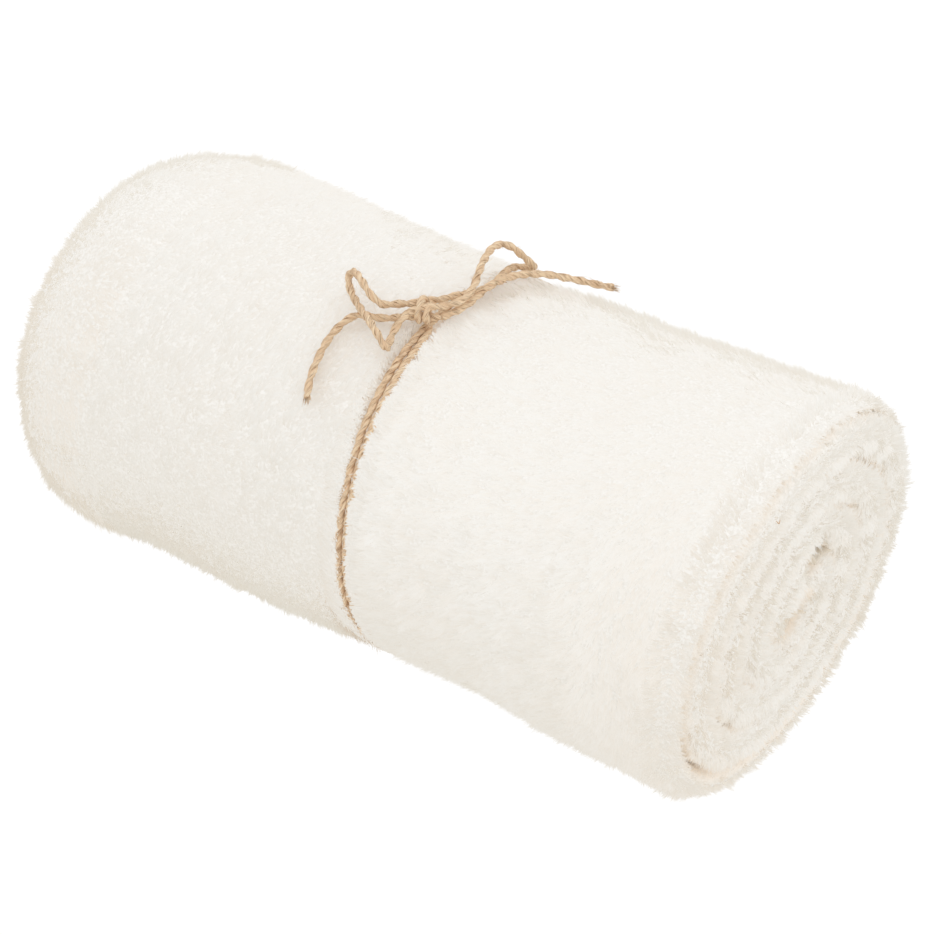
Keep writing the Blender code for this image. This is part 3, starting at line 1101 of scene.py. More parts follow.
class Route:
    """Smooth curves through listed points."""

    FINE = 24
    UPRIGHT = 0.1

    @classmethod
    def smooth(cls, points: Sequence[Point], spacing: float) -> Array:
        """Read evenly spaced points from a smooth curve (centripetal Catmull-Rom) through a route.

        Args:
            points: The route's own points.
            spacing: Distance between the points that are read.

        Returns:
            A row for each point.
        """
        route = [np.array(point) for point in points]
        route = [2 * route[0] - route[1]] + route + [2 * route[-1] - route[-2]]
        fine = []
        for first, start, end, last in zip(route, route[1:], route[2:], route[3:]):
            times = [0.0]
            for low, high in ((first, start), (start, end), (end, last)):
                times.append(times[-1] + math.sqrt(np.linalg.norm(high - low)))
            for step in range(cls.FINE):
                time = times[1] + (times[2] - times[1]) * step / cls.FINE
                row = [first, start, end, last]
                for level in (1, 2, 3):
                    row = [
                        low * ((times[k + level] - time) / (times[k + level] - times[k]))
                        + high * ((time - times[k]) / (times[k + level] - times[k]))
                        for k, (low, high) in enumerate(zip(row, row[1:]))
                    ]
                fine.append(row[0])
        fine.append(route[-2])
        return cls.even(np.array(fine), spacing)

    @staticmethod
    def even(fine: Array, spacing: float) -> Array:
        """Space a line's points evenly."""
        run = Route.run(fine)
        count = max(2, round(run[-1] / spacing)) + 1
        places = np.linspace(0, run[-1], count)
        return np.stack([np.interp(places, run, fine[:, k]) for k in range(3)], axis=-1)

    @staticmethod
    def run(path: Array) -> Array:
        """Distance along a line at each of its points."""
        return np.concatenate(([0.0], np.cumsum(np.linalg.norm(np.diff(path, axis=0), axis=1))))

    @staticmethod
    def length(path: Array) -> float:
        """Length of a line."""
        return float(np.linalg.norm(np.diff(path, axis=0), axis=1).sum())

    @staticmethod
    def frames(path: Array) -> tuple[Array, Array, Array]:
        """Directions along a line and two across it, turning with it as little as possible.

        Args:
            path: The line's points.

        Returns:
            The direction along it and the two across it, a row for each point.
        """
        ahead = unit(np.gradient(path, axis=0))
        side = np.cross(ahead[0], (0.0, 0.0, 1.0))
        if np.linalg.norm(side) < Route.UPRIGHT:
            side = np.cross(ahead[0], (0.0, 1.0, 0.0))
        sides = [unit(side)]
        for direction in ahead[1:]:
            sides.append(unit(sides[-1] - direction * np.dot(sides[-1], direction)))
        across = np.array(sides)
        return ahead, across, np.cross(ahead, across)


LEFT_LOOP: tuple[Point, ...] = (
    (-0.0014, -0.0153, 0.1504),
    (-0.0045, -0.0166, 0.1499),
    (-0.0072, -0.0188, 0.1497),
    (-0.0092, -0.0217, 0.1506),
    (-0.0111, -0.0235, 0.1530),
    (-0.0143, -0.0236, 0.1556),
    (-0.0185, -0.0216, 0.1572),
    (-0.0234, -0.0182, 0.1566),
    (-0.0277, -0.0154, 0.1543),
    (-0.0295, -0.0152, 0.1512),
    (-0.0269, -0.0180, 0.1488),
    (-0.0209, -0.0226, 0.1481),
    (-0.0131, -0.0282, 0.1491),
    (-0.0053, -0.0336, 0.1499),
    (0.0006, -0.0374, 0.1494),
    (0.0035, -0.0383, 0.1470),
    (0.0031, -0.0359, 0.1444),
    (0.0011, -0.0319, 0.1436),
    (-0.0001, -0.0282, 0.1447),
    (-0.0002, -0.0252, 0.1468),
    (0.0006, -0.0229, 0.1490),
    (0.0018, -0.0205, 0.1506),
)
LEFT_TAIL: tuple[Point, ...] = (
    (0.0003, -0.0183, 0.1470),
    (-0.0020, -0.0196, 0.1464),
    (-0.0051, -0.0216, 0.1461),
    (-0.0084, -0.0233, 0.1457),
    (-0.0128, -0.0242, 0.1453),
    (-0.0166, -0.0252, 0.1450),
    (-0.0190, -0.0276, 0.1443),
    (-0.0203, -0.0314, 0.1433),
    (-0.0211, -0.0360, 0.1416),
    (-0.0211, -0.0409, 0.1395),
    (-0.0205, -0.0461, 0.1370),
    (-0.0195, -0.0512, 0.1341),
    (-0.0179, -0.0559, 0.1312),
    (-0.0154, -0.0605, 0.1287),
)
RIGHT_LOOP: tuple[Point, ...] = (
    (0.0099, -0.0122, 0.1518),
    (0.0128, -0.0080, 0.1517),
    (0.0144, -0.0032, 0.1520),
    (0.0146, 0.0016, 0.1535),
    (0.0128, 0.0078, 0.1552),
    (0.0097, 0.0161, 0.1560),
    (0.0071, 0.0248, 0.1553),
    (0.0061, 0.0322, 0.1531),
    (0.0072, 0.0378, 0.1494),
    (0.0093, 0.0417, 0.1444),
    (0.0112, 0.0453, 0.1392),
    (0.0110, 0.0483, 0.1353),
    (0.0082, 0.0487, 0.1340),
    (0.0060, 0.0452, 0.1355),
    (0.0066, 0.0391, 0.1385),
    (0.0087, 0.0315, 0.1416),
    (0.0116, 0.0226, 0.1443),
    (0.0120, 0.0151, 0.1455),
    (0.0106, 0.0093, 0.1459),
    (0.0079, 0.0047, 0.1468),
    (0.0066, -0.0004, 0.1480),
    (0.0058, -0.0049, 0.1490),
)
RIGHT_TAIL: tuple[Point, ...] = (
    (0.0112, -0.0132, 0.1482),
    (0.0132, -0.0079, 0.1482),
    (0.0145, -0.0033, 0.1484),
    (0.0150, 0.0024, 0.1488),
    (0.0148, 0.0091, 0.1490),
    (0.0150, 0.0173, 0.1480),
    (0.0163, 0.0254, 0.1464),
    (0.0185, 0.0342, 0.1434),
    (0.0221, 0.0426, 0.1396),
    (0.0271, 0.0484, 0.1367),
    (0.0326, 0.0511, 0.1358),
    (0.0381, 0.0522, 0.1360),
    (0.0439, 0.0526, 0.1369),
)


@dataclass(frozen=True)
class KnotSizes:
    """Where the knot is and how its turns are wound."""

    centre: Point = (0.0049, -0.0149, 0.1497)
    axis: Point = (0.92, 0.36, 0.12)
    turns: float = 1.6
    start: float = math.radians(250)
    radius: float = 0.0040
    pitch: float = 0.0030
    tuck: float = 0.35
    tuck_rate: float = 5.0
    middles: tuple[Point, ...] = (
        (0.0029, -0.0114, 0.1512),
        (0.0061, -0.0169, 0.1526),
        (0.0057, -0.0160, 0.1478),
    )


@dataclass(frozen=True)
class BandSizes:
    """How the tie's two turns run round the waist."""

    pitch: float = 0.0032
    start: float = math.radians(80.5)
    crossing: float = math.radians(5.0)
    start_tuck: float = math.radians(3.5)
    end_gap: float = math.radians(5.5)


class Tube:
    """Closed tubes made from rings of points: their faces, and where each corner lies among the rings."""

    INSET = (0.01, 0.98)
    ROUND_INSET = (0.02, 0.96)
    BLANK = 0.001

    def __init__(self, rings: Array, start: int = 0) -> None:
        """Lay out the faces.

        Args:
            rings: Rings of points, the same count in each.
            start: Number of the first point.
        """
        self.count, self.sides = rings.shape[:2]
        self.points = rings.reshape(-1, 3)
        index = np.arange(self.count * self.sides).reshape(self.count, self.sides) + start
        after = np.roll(index, -1, axis=1)
        self.quads = np.stack((index[:-1], after[:-1], after[1:], index[1:]), axis=-1).reshape(-1, 4)
        self.caps = np.stack((index[0][::-1], index[-1]))
        row, column = np.meshgrid(np.arange(self.count - 1), np.arange(self.sides), indexing="ij")
        self.first_rows = row.reshape(-1, 1)
        self.rows = np.stack((row, row, row + 1, row + 1), axis=-1).reshape(-1, 4)
        self.columns = np.stack((column, column + 1, column + 1, column), axis=-1).reshape(-1, 4)

    @classmethod
    def join(
        cls,
        name: str,
        tubes: Sequence["Tube"],
        flat: Sequence[Array],
        strand: Sequence[Array],
        material: bpy.types.Material,
    ) -> bpy.types.Object:
        """Make one piece of tubes whose points are numbered on from each other.

        Args:
            name: The piece's name.
            tubes: The tubes.
            flat: The bake map's place of each corner, an array for each tube.
            strand: The strand map's values, an array for each tube.
            material: The piece's material.

        Returns:
            The piece.
        """
        caps = np.concatenate([tube.caps for tube in tubes])
        blank = np.zeros((caps.size, 2)) + cls.BLANK
        maps = {
            key: np.concatenate([part.reshape(-1, 2) for part in values] + [blank])
            for key, values in ((BAKE_MAP, flat), (STRAND_MAP, strand))
        }
        points = np.concatenate([tube.points for tube in tubes])
        quads = np.concatenate([tube.quads for tube in tubes])
        return MeshMaker.build(name, points, [quads, caps], maps, material)

    @classmethod
    def along(cls, name: str, rings: Array, material: bpy.types.Material, slot: Slot) -> bpy.types.Object:
        """Make a closed piece of cloth or fibre from rings of points.

        Args:
            name: The piece's name.
            rings: Rings of points, the same count in each.
            material: The piece's material.
            slot: Its finish.

        Returns:
            The piece.
        """
        tube = cls(rings)
        (edge, wide), (low, high) = cls.INSET, cls.ROUND_INSET
        flat = (edge + wide * tube.rows / (tube.count - 1), low + high * tube.columns / tube.sides)
        width = np.concatenate((Route.run(rings[0]), [0.0]))
        cloth = (Route.run(rings[:, 0])[tube.rows], width[tube.columns])
        maps = ([np.stack(flat, axis=-1)], [np.stack(cloth, axis=-1)])
        return attach(cls.join(name, [tube], *maps, material), slot)


class Twine:
    """Spins two-ply strands and the fine fibres that stand off them."""

    PLIES = 2
    ROW_SHAPE = 3
    ROW_INSET = (0.05, 0.90)
    PLY_INSET = (0.02, 0.96)
    END_INSET = (0.005, 0.99)

    def __init__(
        self, sizes: TwineSizes, fibres: FibreSizes, material: bpy.types.Material, seed: int
    ) -> None:
        """Prepare for spinning.

        Args:
            sizes: Sizes of the twine.
            fibres: Sizes of its loose fibres.
            material: Its material.
            seed: Picks the loose fibres.
        """
        self.sizes = sizes
        self.fibre = fibres
        self.material = material
        self.draw = np.random.default_rng(seed)
        self.fibres: list[Array] = []

    def ply(self, path: Array, phase: float) -> Array:
        """Rings of points round one of the two plies.

        Args:
            path: The strand's middle line.
            phase: Where the ply starts round the line.

        Returns:
            The rings.
        """
        sizes = self.sizes
        ahead, across, over = Route.frames(path)
        run = Route.run(path)
        turn = 2 * math.pi * run / sizes.lay + phase
        out = across * np.cos(turn)[:, None] + over * np.sin(turn)[:, None]
        aside = np.cross(ahead, out)
        middle = path + out * sizes.ply_offset
        around = np.linspace(0, 2 * math.pi, sizes.sides, endpoint=False)
        wave = np.cos(sizes.ridges * around[None] - sizes.ridge_lag * turn[:, None])
        uneven = sizes.uneven * np.sin(run * sizes.uneven_rate + phase)[:, None]
        radius = sizes.ply_radius + sizes.ridge_height * wave + uneven
        return (
            middle[:, None]
            + out[:, None] * (np.cos(around)[None] * radius)[..., None]
            + aside[:, None] * (np.sin(around)[None] * radius)[..., None]
        )

    def spin(self, name: str, paths: Sequence[Array], fuzz_per_metre: float) -> bpy.types.Object:
        """Make a piece of one or more strands.

        Args:
            name: The piece's name.
            paths: The strands' middle lines.
            fuzz_per_metre: How many loose fibres stand off each metre.

        Returns:
            The piece.
        """
        sizes = self.sizes
        tubes: list[Tube] = []
        flat: list[Array] = []
        along: list[Array] = []
        plies = self.PLIES * len(paths)
        total = 0
        for path in paths:
            path = Route.even(path, sizes.step)
            for side in range(self.PLIES):
                number = len(tubes)
                rings = self.ply(path, math.pi * side)
                tube = Tube(rings, total)
                tubes.append(tube)
                flat.append(self.bake_cells(tube, number, plies))
                length = tube.rows * sizes.step * sizes.map_scale + sizes.map_shift * number
                along.append(np.stack((tube.columns / sizes.sides, length), axis=-1))
                self.shed(rings, path, fuzz_per_metre)
                total += len(tube.points)
        return Tube.join(name, tubes, flat, along, self.material)

    def bake_cells(self, tube: Tube, number: int, plies: int) -> Array:
        """Lay a ply out on the bake map in short rows, so that a long strand fills a square."""
        rows = max(1, round(math.sqrt(tube.count / (self.ROW_SHAPE * tube.sides))))
        per_row = math.ceil((tube.count - 1) / rows)
        line = np.repeat(tube.first_rows // per_row, 4, axis=1)
        across = (tube.rows - line * per_row) / per_row
        up = (line + self.ROW_INSET[0] + self.ROW_INSET[1] * tube.columns / tube.sides) / rows
        up = (number + self.PLY_INSET[0] + self.PLY_INSET[1] * up) / plies
        return np.stack((self.END_INSET[0] + self.END_INSET[1] * across, up), axis=-1)

    def shed(self, rings: Array, path: Array, per_metre: float) -> None:
        """Stand fine loose fibres off a ply.

        Args:
            rings: The ply's rings of points.
            path: The strand's middle line.
            per_metre: How many fibres for each metre.
        """
        draw, fibre = self.draw, self.fibre
        count = int(Route.length(path) * per_metre / self.PLIES)
        ring = draw.integers(1, len(rings) - 1, count)
        side = draw.integers(0, self.sizes.sides, count)
        root = rings[ring, side]
        ahead = unit(np.gradient(path, axis=0))[ring] * draw.choice((-1.0, 1.0), count)[:, None]
        out = unit(root - path[ring])
        lift = draw.uniform(*fibre.lift, count)[:, None]
        sway = draw.normal(0, fibre.sway, (count, 1))
        aside = np.cross(ahead, out)
        heading = unit(ahead * np.cos(lift) + out * np.sin(lift) + aside * sway)
        curl = out * draw.normal(*fibre.curl, (count, 1))
        curl = curl + aside * draw.normal(0, fibre.curl_aside, (count, 1))
        length = draw.gamma(*fibre.length, count).clip(*fibre.lengths)[:, None]
        self.add_fibres(root, heading, unit(ahead + curl), length, fibre.width)

    def fray(self, path: Array) -> None:
        """Spread the fibres of a strand's free end.

        Args:
            path: The strand's middle line, its free end last.
        """
        draw, fibre = self.draw, self.fibre
        count = fibre.frayed
        ahead = unit(path[-1] - path[-4])
        across = unit(np.cross(ahead, (0.0, 0.0, 1.0)))
        over = np.cross(ahead, across)
        turn = draw.uniform(0, 2 * math.pi, count)[:, None]
        ring = across * np.cos(turn) + over * np.sin(turn)
        root = path[-1] + ring * draw.uniform(*fibre.frayed_out, (count, 1))
        root = root - ahead * draw.uniform(*fibre.frayed_back, (count, 1))
        heading = unit(ahead + ring * draw.uniform(*fibre.frayed_spread, (count, 1)))
        curl = unit(ahead + ring * draw.uniform(*fibre.frayed_curl, (count, 1)))
        length = draw.uniform(*fibre.frayed_length, (count, 1))
        self.add_fibres(root, heading, curl, length, fibre.frayed_width)

    def add_fibres(self, root: Array, heading: Array, curl: Array, length: Array, width: float) -> None:
        """Keep fibres to be made later, each a sliver of five points that tapers."""
        turned = self.draw.normal(0, self.fibre.turned, root.shape)
        across = unit(np.cross(heading, curl) + turned) * width / 2
        start = root - heading * self.fibre.sunk
        middle = root + heading * length * 0.5
        tip = middle + curl * length * 0.5
        rows = (start - across, start + across, middle - across, middle + across, tip)
        self.fibres.append(np.stack(rows, axis=1))

    def make_fibres(self, name: str) -> bpy.types.Object:
        """Make one piece of all the fibres kept so far."""
        points = np.concatenate(self.fibres)
        slivers = Slivers(len(points), True)
        piece = slivers.build(name, points, slivers.cells * self.fibre.map_scale, self.material)
        return attach(piece, Slot.JUTE)


class Bow:
    """The tie: its turns round the waist, its knot, loops and free ends."""

    READ_STEP = 0.0015
    THROUGH_STEP = 0.0003
    BAND_READS = 900
    KNOT_READS = 90

    def __init__(self, form: RollForm, twine: Twine, band: BandSizes, knot: KnotSizes) -> None:
        """Keep what the tie is made from.

        Args:
            form: The roll that it goes round.
            twine: Spins its strands.
            band: How its turns run.
            knot: How its knot is wound.
        """
        self.form = form
        self.twine = twine
        self.band = band
        self.knot = knot

    def free_strands(self) -> list[bpy.types.Object]:
        """Make the two loops and the two free ends."""
        fibre = self.twine.fibre
        pieces = []
        strands = (
            ("left_loop", LEFT_LOOP, Solid.LEFT_LOOP, "object"),
            ("right_loop", RIGHT_LOOP, Solid.RIGHT_LOOP, "object"),
            ("left_tail", LEFT_TAIL, Solid.LEFT_TAIL, "bare"),
            ("right_tail", RIGHT_TAIL, Solid.RIGHT_TAIL, "bare"),
        )
        for name, points, solid, far_end in strands:
            path = Route.smooth(points, self.READ_STEP)
            piece = attach(self.twine.spin(name, [path], fibre.per_metre), Slot.JUTE, solid)
            Route.length(path)
            if far_end == "bare":
                self.twine.fray(path)
            pieces.append(piece)
        return pieces

    def band_path(self) -> Array:
        """Middle line of the two turns in the waist's groove, ending under the knot."""
        band, sizes = self.band, self.twine.sizes
        share = np.linspace(0, 1, self.BAND_READS)
        run = share * (4 * math.pi + band.start_tuck - band.end_gap) - band.start_tuck
        half = 2 * math.pi
        across = smooth_step(run, half - band.crossing, half + band.crossing) - 0.5
        x = self.form.sizes.waist_x + across * band.pitch
        return self.form.side_point(x, band.start - run, 1.0, sizes.width / 2 + sizes.gap)

    def wrap_path(self) -> Array:
        """Middle line of the turns wound round the knot's strands."""
        knot = self.knot
        axis = unit(np.array(knot.axis))
        side = unit(np.cross(axis, (0.0, 0.0, 1.0)))
        rise = np.cross(side, axis)
        share = np.linspace(0, 1, self.KNOT_READS)
        turn = knot.start + 2 * math.pi * knot.turns * share
        tuck = np.minimum(1.0, knot.tuck + knot.tuck_rate * np.minimum(share, 1 - share))
        along = axis[None] * (knot.pitch * knot.turns * (share - 0.5))[:, None]
        around = side * np.cos(turn)[:, None] + rise * np.sin(turn)[:, None]
        return np.array(knot.centre) + along + around * (knot.radius * tuck)[:, None]

    def through_paths(self) -> list[Array]:
        """Middle lines of the three strands that pass through the knot."""
        starts = (LEFT_LOOP, LEFT_LOOP[::-1], LEFT_TAIL)
        ends = (RIGHT_LOOP[::-1], RIGHT_LOOP, RIGHT_TAIL)
        paths = []
        for left, middle, right in zip(starts, self.knot.middles, ends):
            route = (left[1], left[0], middle, right[0], right[1])
            fine = Route.smooth(route, self.THROUGH_STEP)
            first = np.argmin(np.linalg.norm(fine - np.array(left[0]), axis=1))
            last = np.argmin(np.linalg.norm(fine - np.array(right[0]), axis=1))
            paths.append(fine[first : last + 1])
        return paths

    def held_strands(self) -> list[bpy.types.Object]:
        """Make the turns round the waist and the knot."""
        fibre = self.twine.fibre
        band = self.twine.spin("waist_band", [self.band_path()], fibre.held_per_metre)
        knot = self.twine.spin("bow_knot", [self.wrap_path(), *self.through_paths()], fibre.per_metre)
        return [attach(band, Slot.JUTE, Solid.BAND), attach(knot, Slot.JUTE, Solid.KNOT)]


@dataclass(frozen=True)
class Fold:
    """A fold of thin woven cloth that stands in a pocket among the inner turns."""

    line: tuple[tuple[float, float], ...]
    front: float
    back: float
    thickness: float = 0.0013


class BorderCloth:
    """The towel's flat-woven border, where it shows: among the inner folds and along the outer end.

    A fold's section gives each point's share of the depth and of half the thickness. The hem's section gives
    each point's share of a turn from the outer end and its height over the roll's side.
    """

    LINE_STEP = 0.0007
    CREASE = 0.0010
    CREASE_RATE = 9
    HEM_STEPS = 200
    FOLD_SECTION = (
        (0.0, -1.0),
        (0.35, -1.0),
        (0.8, -0.95),
        (0.96, -0.6),
        (1.0, 0.0),
        (0.96, 0.6),
        (0.8, 0.95),
        (0.0, 1.0),
    )
    HEM_SECTION = (
        (0.0340, -0.0030),
        (0.0335, -0.0012),
        (0.0230, -0.0006),
        (0.0130, -0.0007),
        (0.0115, -0.0011),
        (0.0100, -0.0006),
        (0.0030, -0.0005),
        (0.0008, -0.0012),
        (0.0003, -0.0028),
        (0.0006, -0.0066),
    )

    def __init__(self, form: RollForm, material: bpy.types.Material) -> None:
        """Keep the form and the finish.

        Args:
            form: The roll's form.
            material: The woven cloth's material.
        """
        self.form = form
        self.material = material

    def inner_fold(self, name: str, fold: Fold) -> bpy.types.Object:
        """Make one fold that stands among the inner turns.

        Args:
            name: The piece's name.
            fold: Its line on the end's face, across and up from the axis, and its depth.

        Returns:
            The piece.
        """
        sizes = self.form.sizes
        line = Route.smooth([(0.0, across, up) for across, up in fold.line], self.LINE_STEP)
        ahead = unit(np.gradient(line, axis=0))
        aside = np.stack((np.zeros(len(ahead)), -ahead[:, 2], ahead[:, 1]), axis=-1)
        base = line + np.array((0.0, sizes.middle_y, sizes.axis_height))
        lean = self.form.lean(np.full(len(base), self.form.half), base[:, 2])
        crease = self.CREASE * np.sin(np.linspace(0, 1, len(base)) * self.CREASE_RATE + 1)
        front = self.form.half + sizes.middle_x + lean - fold.front - crease
        rings = []
        for depth, side in self.FOLD_SECTION:
            points = base + aside * (fold.thickness / 2 * side)
            points[:, 0] = front - (fold.back - fold.front) * (1 - depth)
            rings.append(points)
        return Tube.along(name, np.stack(rings, axis=1), self.material, Slot.TERRY)

    def outer_hem(self) -> bpy.types.Object:
        """Make the narrow woven hem along the towel's outer end."""
        x = np.linspace(*self.form.side_limits(), self.HEM_STEPS)
        rings = [
            self.form.side_point(x, np.full(len(x), self.form.angle_at(turn)), 1.0, offset)
            for turn, offset in self.HEM_SECTION
        ]
        points = np.stack(rings, axis=1)
        points[..., 2] = np.maximum(points[..., 2], 0.0)
        return Tube.along("outer_hem", points, self.material, Slot.TERRY)


class Socket:
    """One value of a node tree, which works in sums."""

    def __init__(self, owner: "Nodes", output: bpy.types.NodeSocket) -> None:
        """Keep the value's place.

        Args:
            owner: The node tree that it is in.
            output: The node's output.
        """
        self.owner = owner
        self.output = output

    def __add__(self, other: "Value") -> "Socket":
        return self.owner.maths("ADD", self, other)

    def __mul__(self, other: "Value") -> "Socket":
        return self.owner.maths("MULTIPLY", self, other)

    def wave(self) -> "Socket":
        """The sine of this value."""
        return self.owner.maths("SINE", self, 0.0)

    def between(self, low: float, high: float) -> "Socket":
        """Rise from 0 at low to 1 at high, and stay there."""
        inputs = {"Value": self, "From Min": low, "From Max": high}
        return self.owner.node("ShaderNodeMapRange", inputs, interpolation_type="SMOOTHSTEP")


Value = Union[Socket, float]


class Nodes:
    """A node tree that is built from expressions."""

    def __init__(self, tree: bpy.types.NodeTree) -> None:
        """Keep the tree.

        Args:
            tree: The node tree.
        """
        self.tree = tree

    def node(
        self,
        kind: str,
        inputs: dict[Union[str, int], Union[Value, Colour, Point]],
        output: Union[str, int] = 0,
        **settings: object,
    ) -> Socket:
        """Make any node.

        Args:
            kind: The node's type.
            inputs: Values by input name or number.
            output: Which output is used.
            settings: The node's own settings.

        Returns:
            The chosen output.
        """
        made = self.tree.nodes.new(kind)
        for key, value in settings.items():
            setattr(made, key, value)
        for key, value in inputs.items():
            if isinstance(value, Socket):
                self.tree.links.new(value.output, made.inputs[key])
            else:
                made.inputs[key].default_value = value
        return Socket(self, made.outputs[output])

    def maths(self, operation: str, first: Value, second: Value) -> Socket:
        """Sum, product or other result of two values."""
        return self.node("ShaderNodeMath", {0: first, 1: second}, operation=operation)

    def mix(self, factor: Value, first: Union[Socket, Colour], second: Union[Socket, Colour]) -> Socket:
        """A colour between two."""
        return self.node("ShaderNodeMix", {0: factor, 6: first, 7: second}, 2, data_type="RGBA")

    def part(self, vector: Socket, axis: str) -> Socket:
        """One part of a vector."""
        return self.node("ShaderNodeSeparateXYZ", {0: vector}, axis)


class Finish(Nodes):
    """One material, built from its nodes."""

    def __init__(self, name: str) -> None:
        """Make the material.

        Args:
            name: The material's name.
        """
        self.material = bpy.data.materials.new(name)
        self.material.use_nodes = True
        super().__init__(self.material.node_tree)
        self.shader = self.tree.nodes["Principled BSDF"]

    def place(self) -> Socket:
        """The place on the piece, in metres."""
        return self.node("ShaderNodeTexCoord", {}, "Object")

    def chart(self) -> tuple[Socket, Socket]:
        """The two values of the piece's own map."""
        chart = self.node("ShaderNodeUVMap", {}, uv_map=STRAND_MAP)
        return self.part(chart, "X"), self.part(chart, "Y")

    def vector(self, x: Value, y: Value) -> Socket:
        """A vector of two values."""
        return self.node("ShaderNodeCombineXYZ", {"X": x, "Y": y})

    def noise(self, vector: Socket, scale: float, detail: float = 2.0) -> Socket:
        """Soft noise from 0 to 1."""
        return self.node("ShaderNodeTexNoise", {"Vector": vector, "Scale": scale, "Detail": detail}, "Fac")

    def bump(self, height: Socket, distance: float) -> None:
        """Raise the surface by a height from 0 to 1."""
        inputs = {"Height": height, "Distance": distance, "Strength": 1.0}
        self.link("Normal", self.node("ShaderNodeBump", inputs, "Normal"))

    def link(self, name: str, value: Socket) -> None:
        """Feed a value to the shader."""
        self.tree.links.new(value.output, self.shader.inputs[name])

    def constant(self, **values: Union[float, Colour]) -> None:
        """Set the shader's own values, by input name with _ for a space."""
        for key, value in values.items():
            self.shader.inputs[key.replace("_", " ")].default_value = value


@dataclass(frozen=True)
class ClothColours:
    """Colours of the terry cloth."""

    tip: Colour = (0.926, 0.918, 0.886, 1.0)
    # root: darker than the tip; on the pile it is painted shade deep among the yarns, on the ground cloth the
    # darker tone of its loops.
    root: Colour = (0.868, 0.840, 0.784, 1.0)
    # warm: the pile's warm colour, reached partly at random and partly as painted shade in grooves, gaps,
    # pockets and low on the front.
    warm: Colour = (0.875, 0.780, 0.665, 1.0)
    # gap: painted shade on the ground cloth in the gaps between turns, the waist's groove and the pockets.
    gap: Colour = (0.975, 0.880, 0.770, 1.0)
    skin: Colour = (0.960, 0.945, 0.910, 1.0)
    woven: Colour = (0.930, 0.880, 0.790, 1.0)
    # woven_shade: painted shade in the border's crease hollows, and the darker weave between its threads.
    woven_shade: Colour = (0.860, 0.770, 0.640, 1.0)
    sheen: float = 0.12


@dataclass(frozen=True)
class JuteColours:
    """Colours of the jute twine."""

    light: Colour = (0.970, 0.780, 0.550, 1.0)
    middle: Colour = (0.830, 0.600, 0.390, 1.0)
    dark: Colour = (0.330, 0.180, 0.090, 1.0)
    fleck: Colour = (0.420, 0.220, 0.110, 1.0)


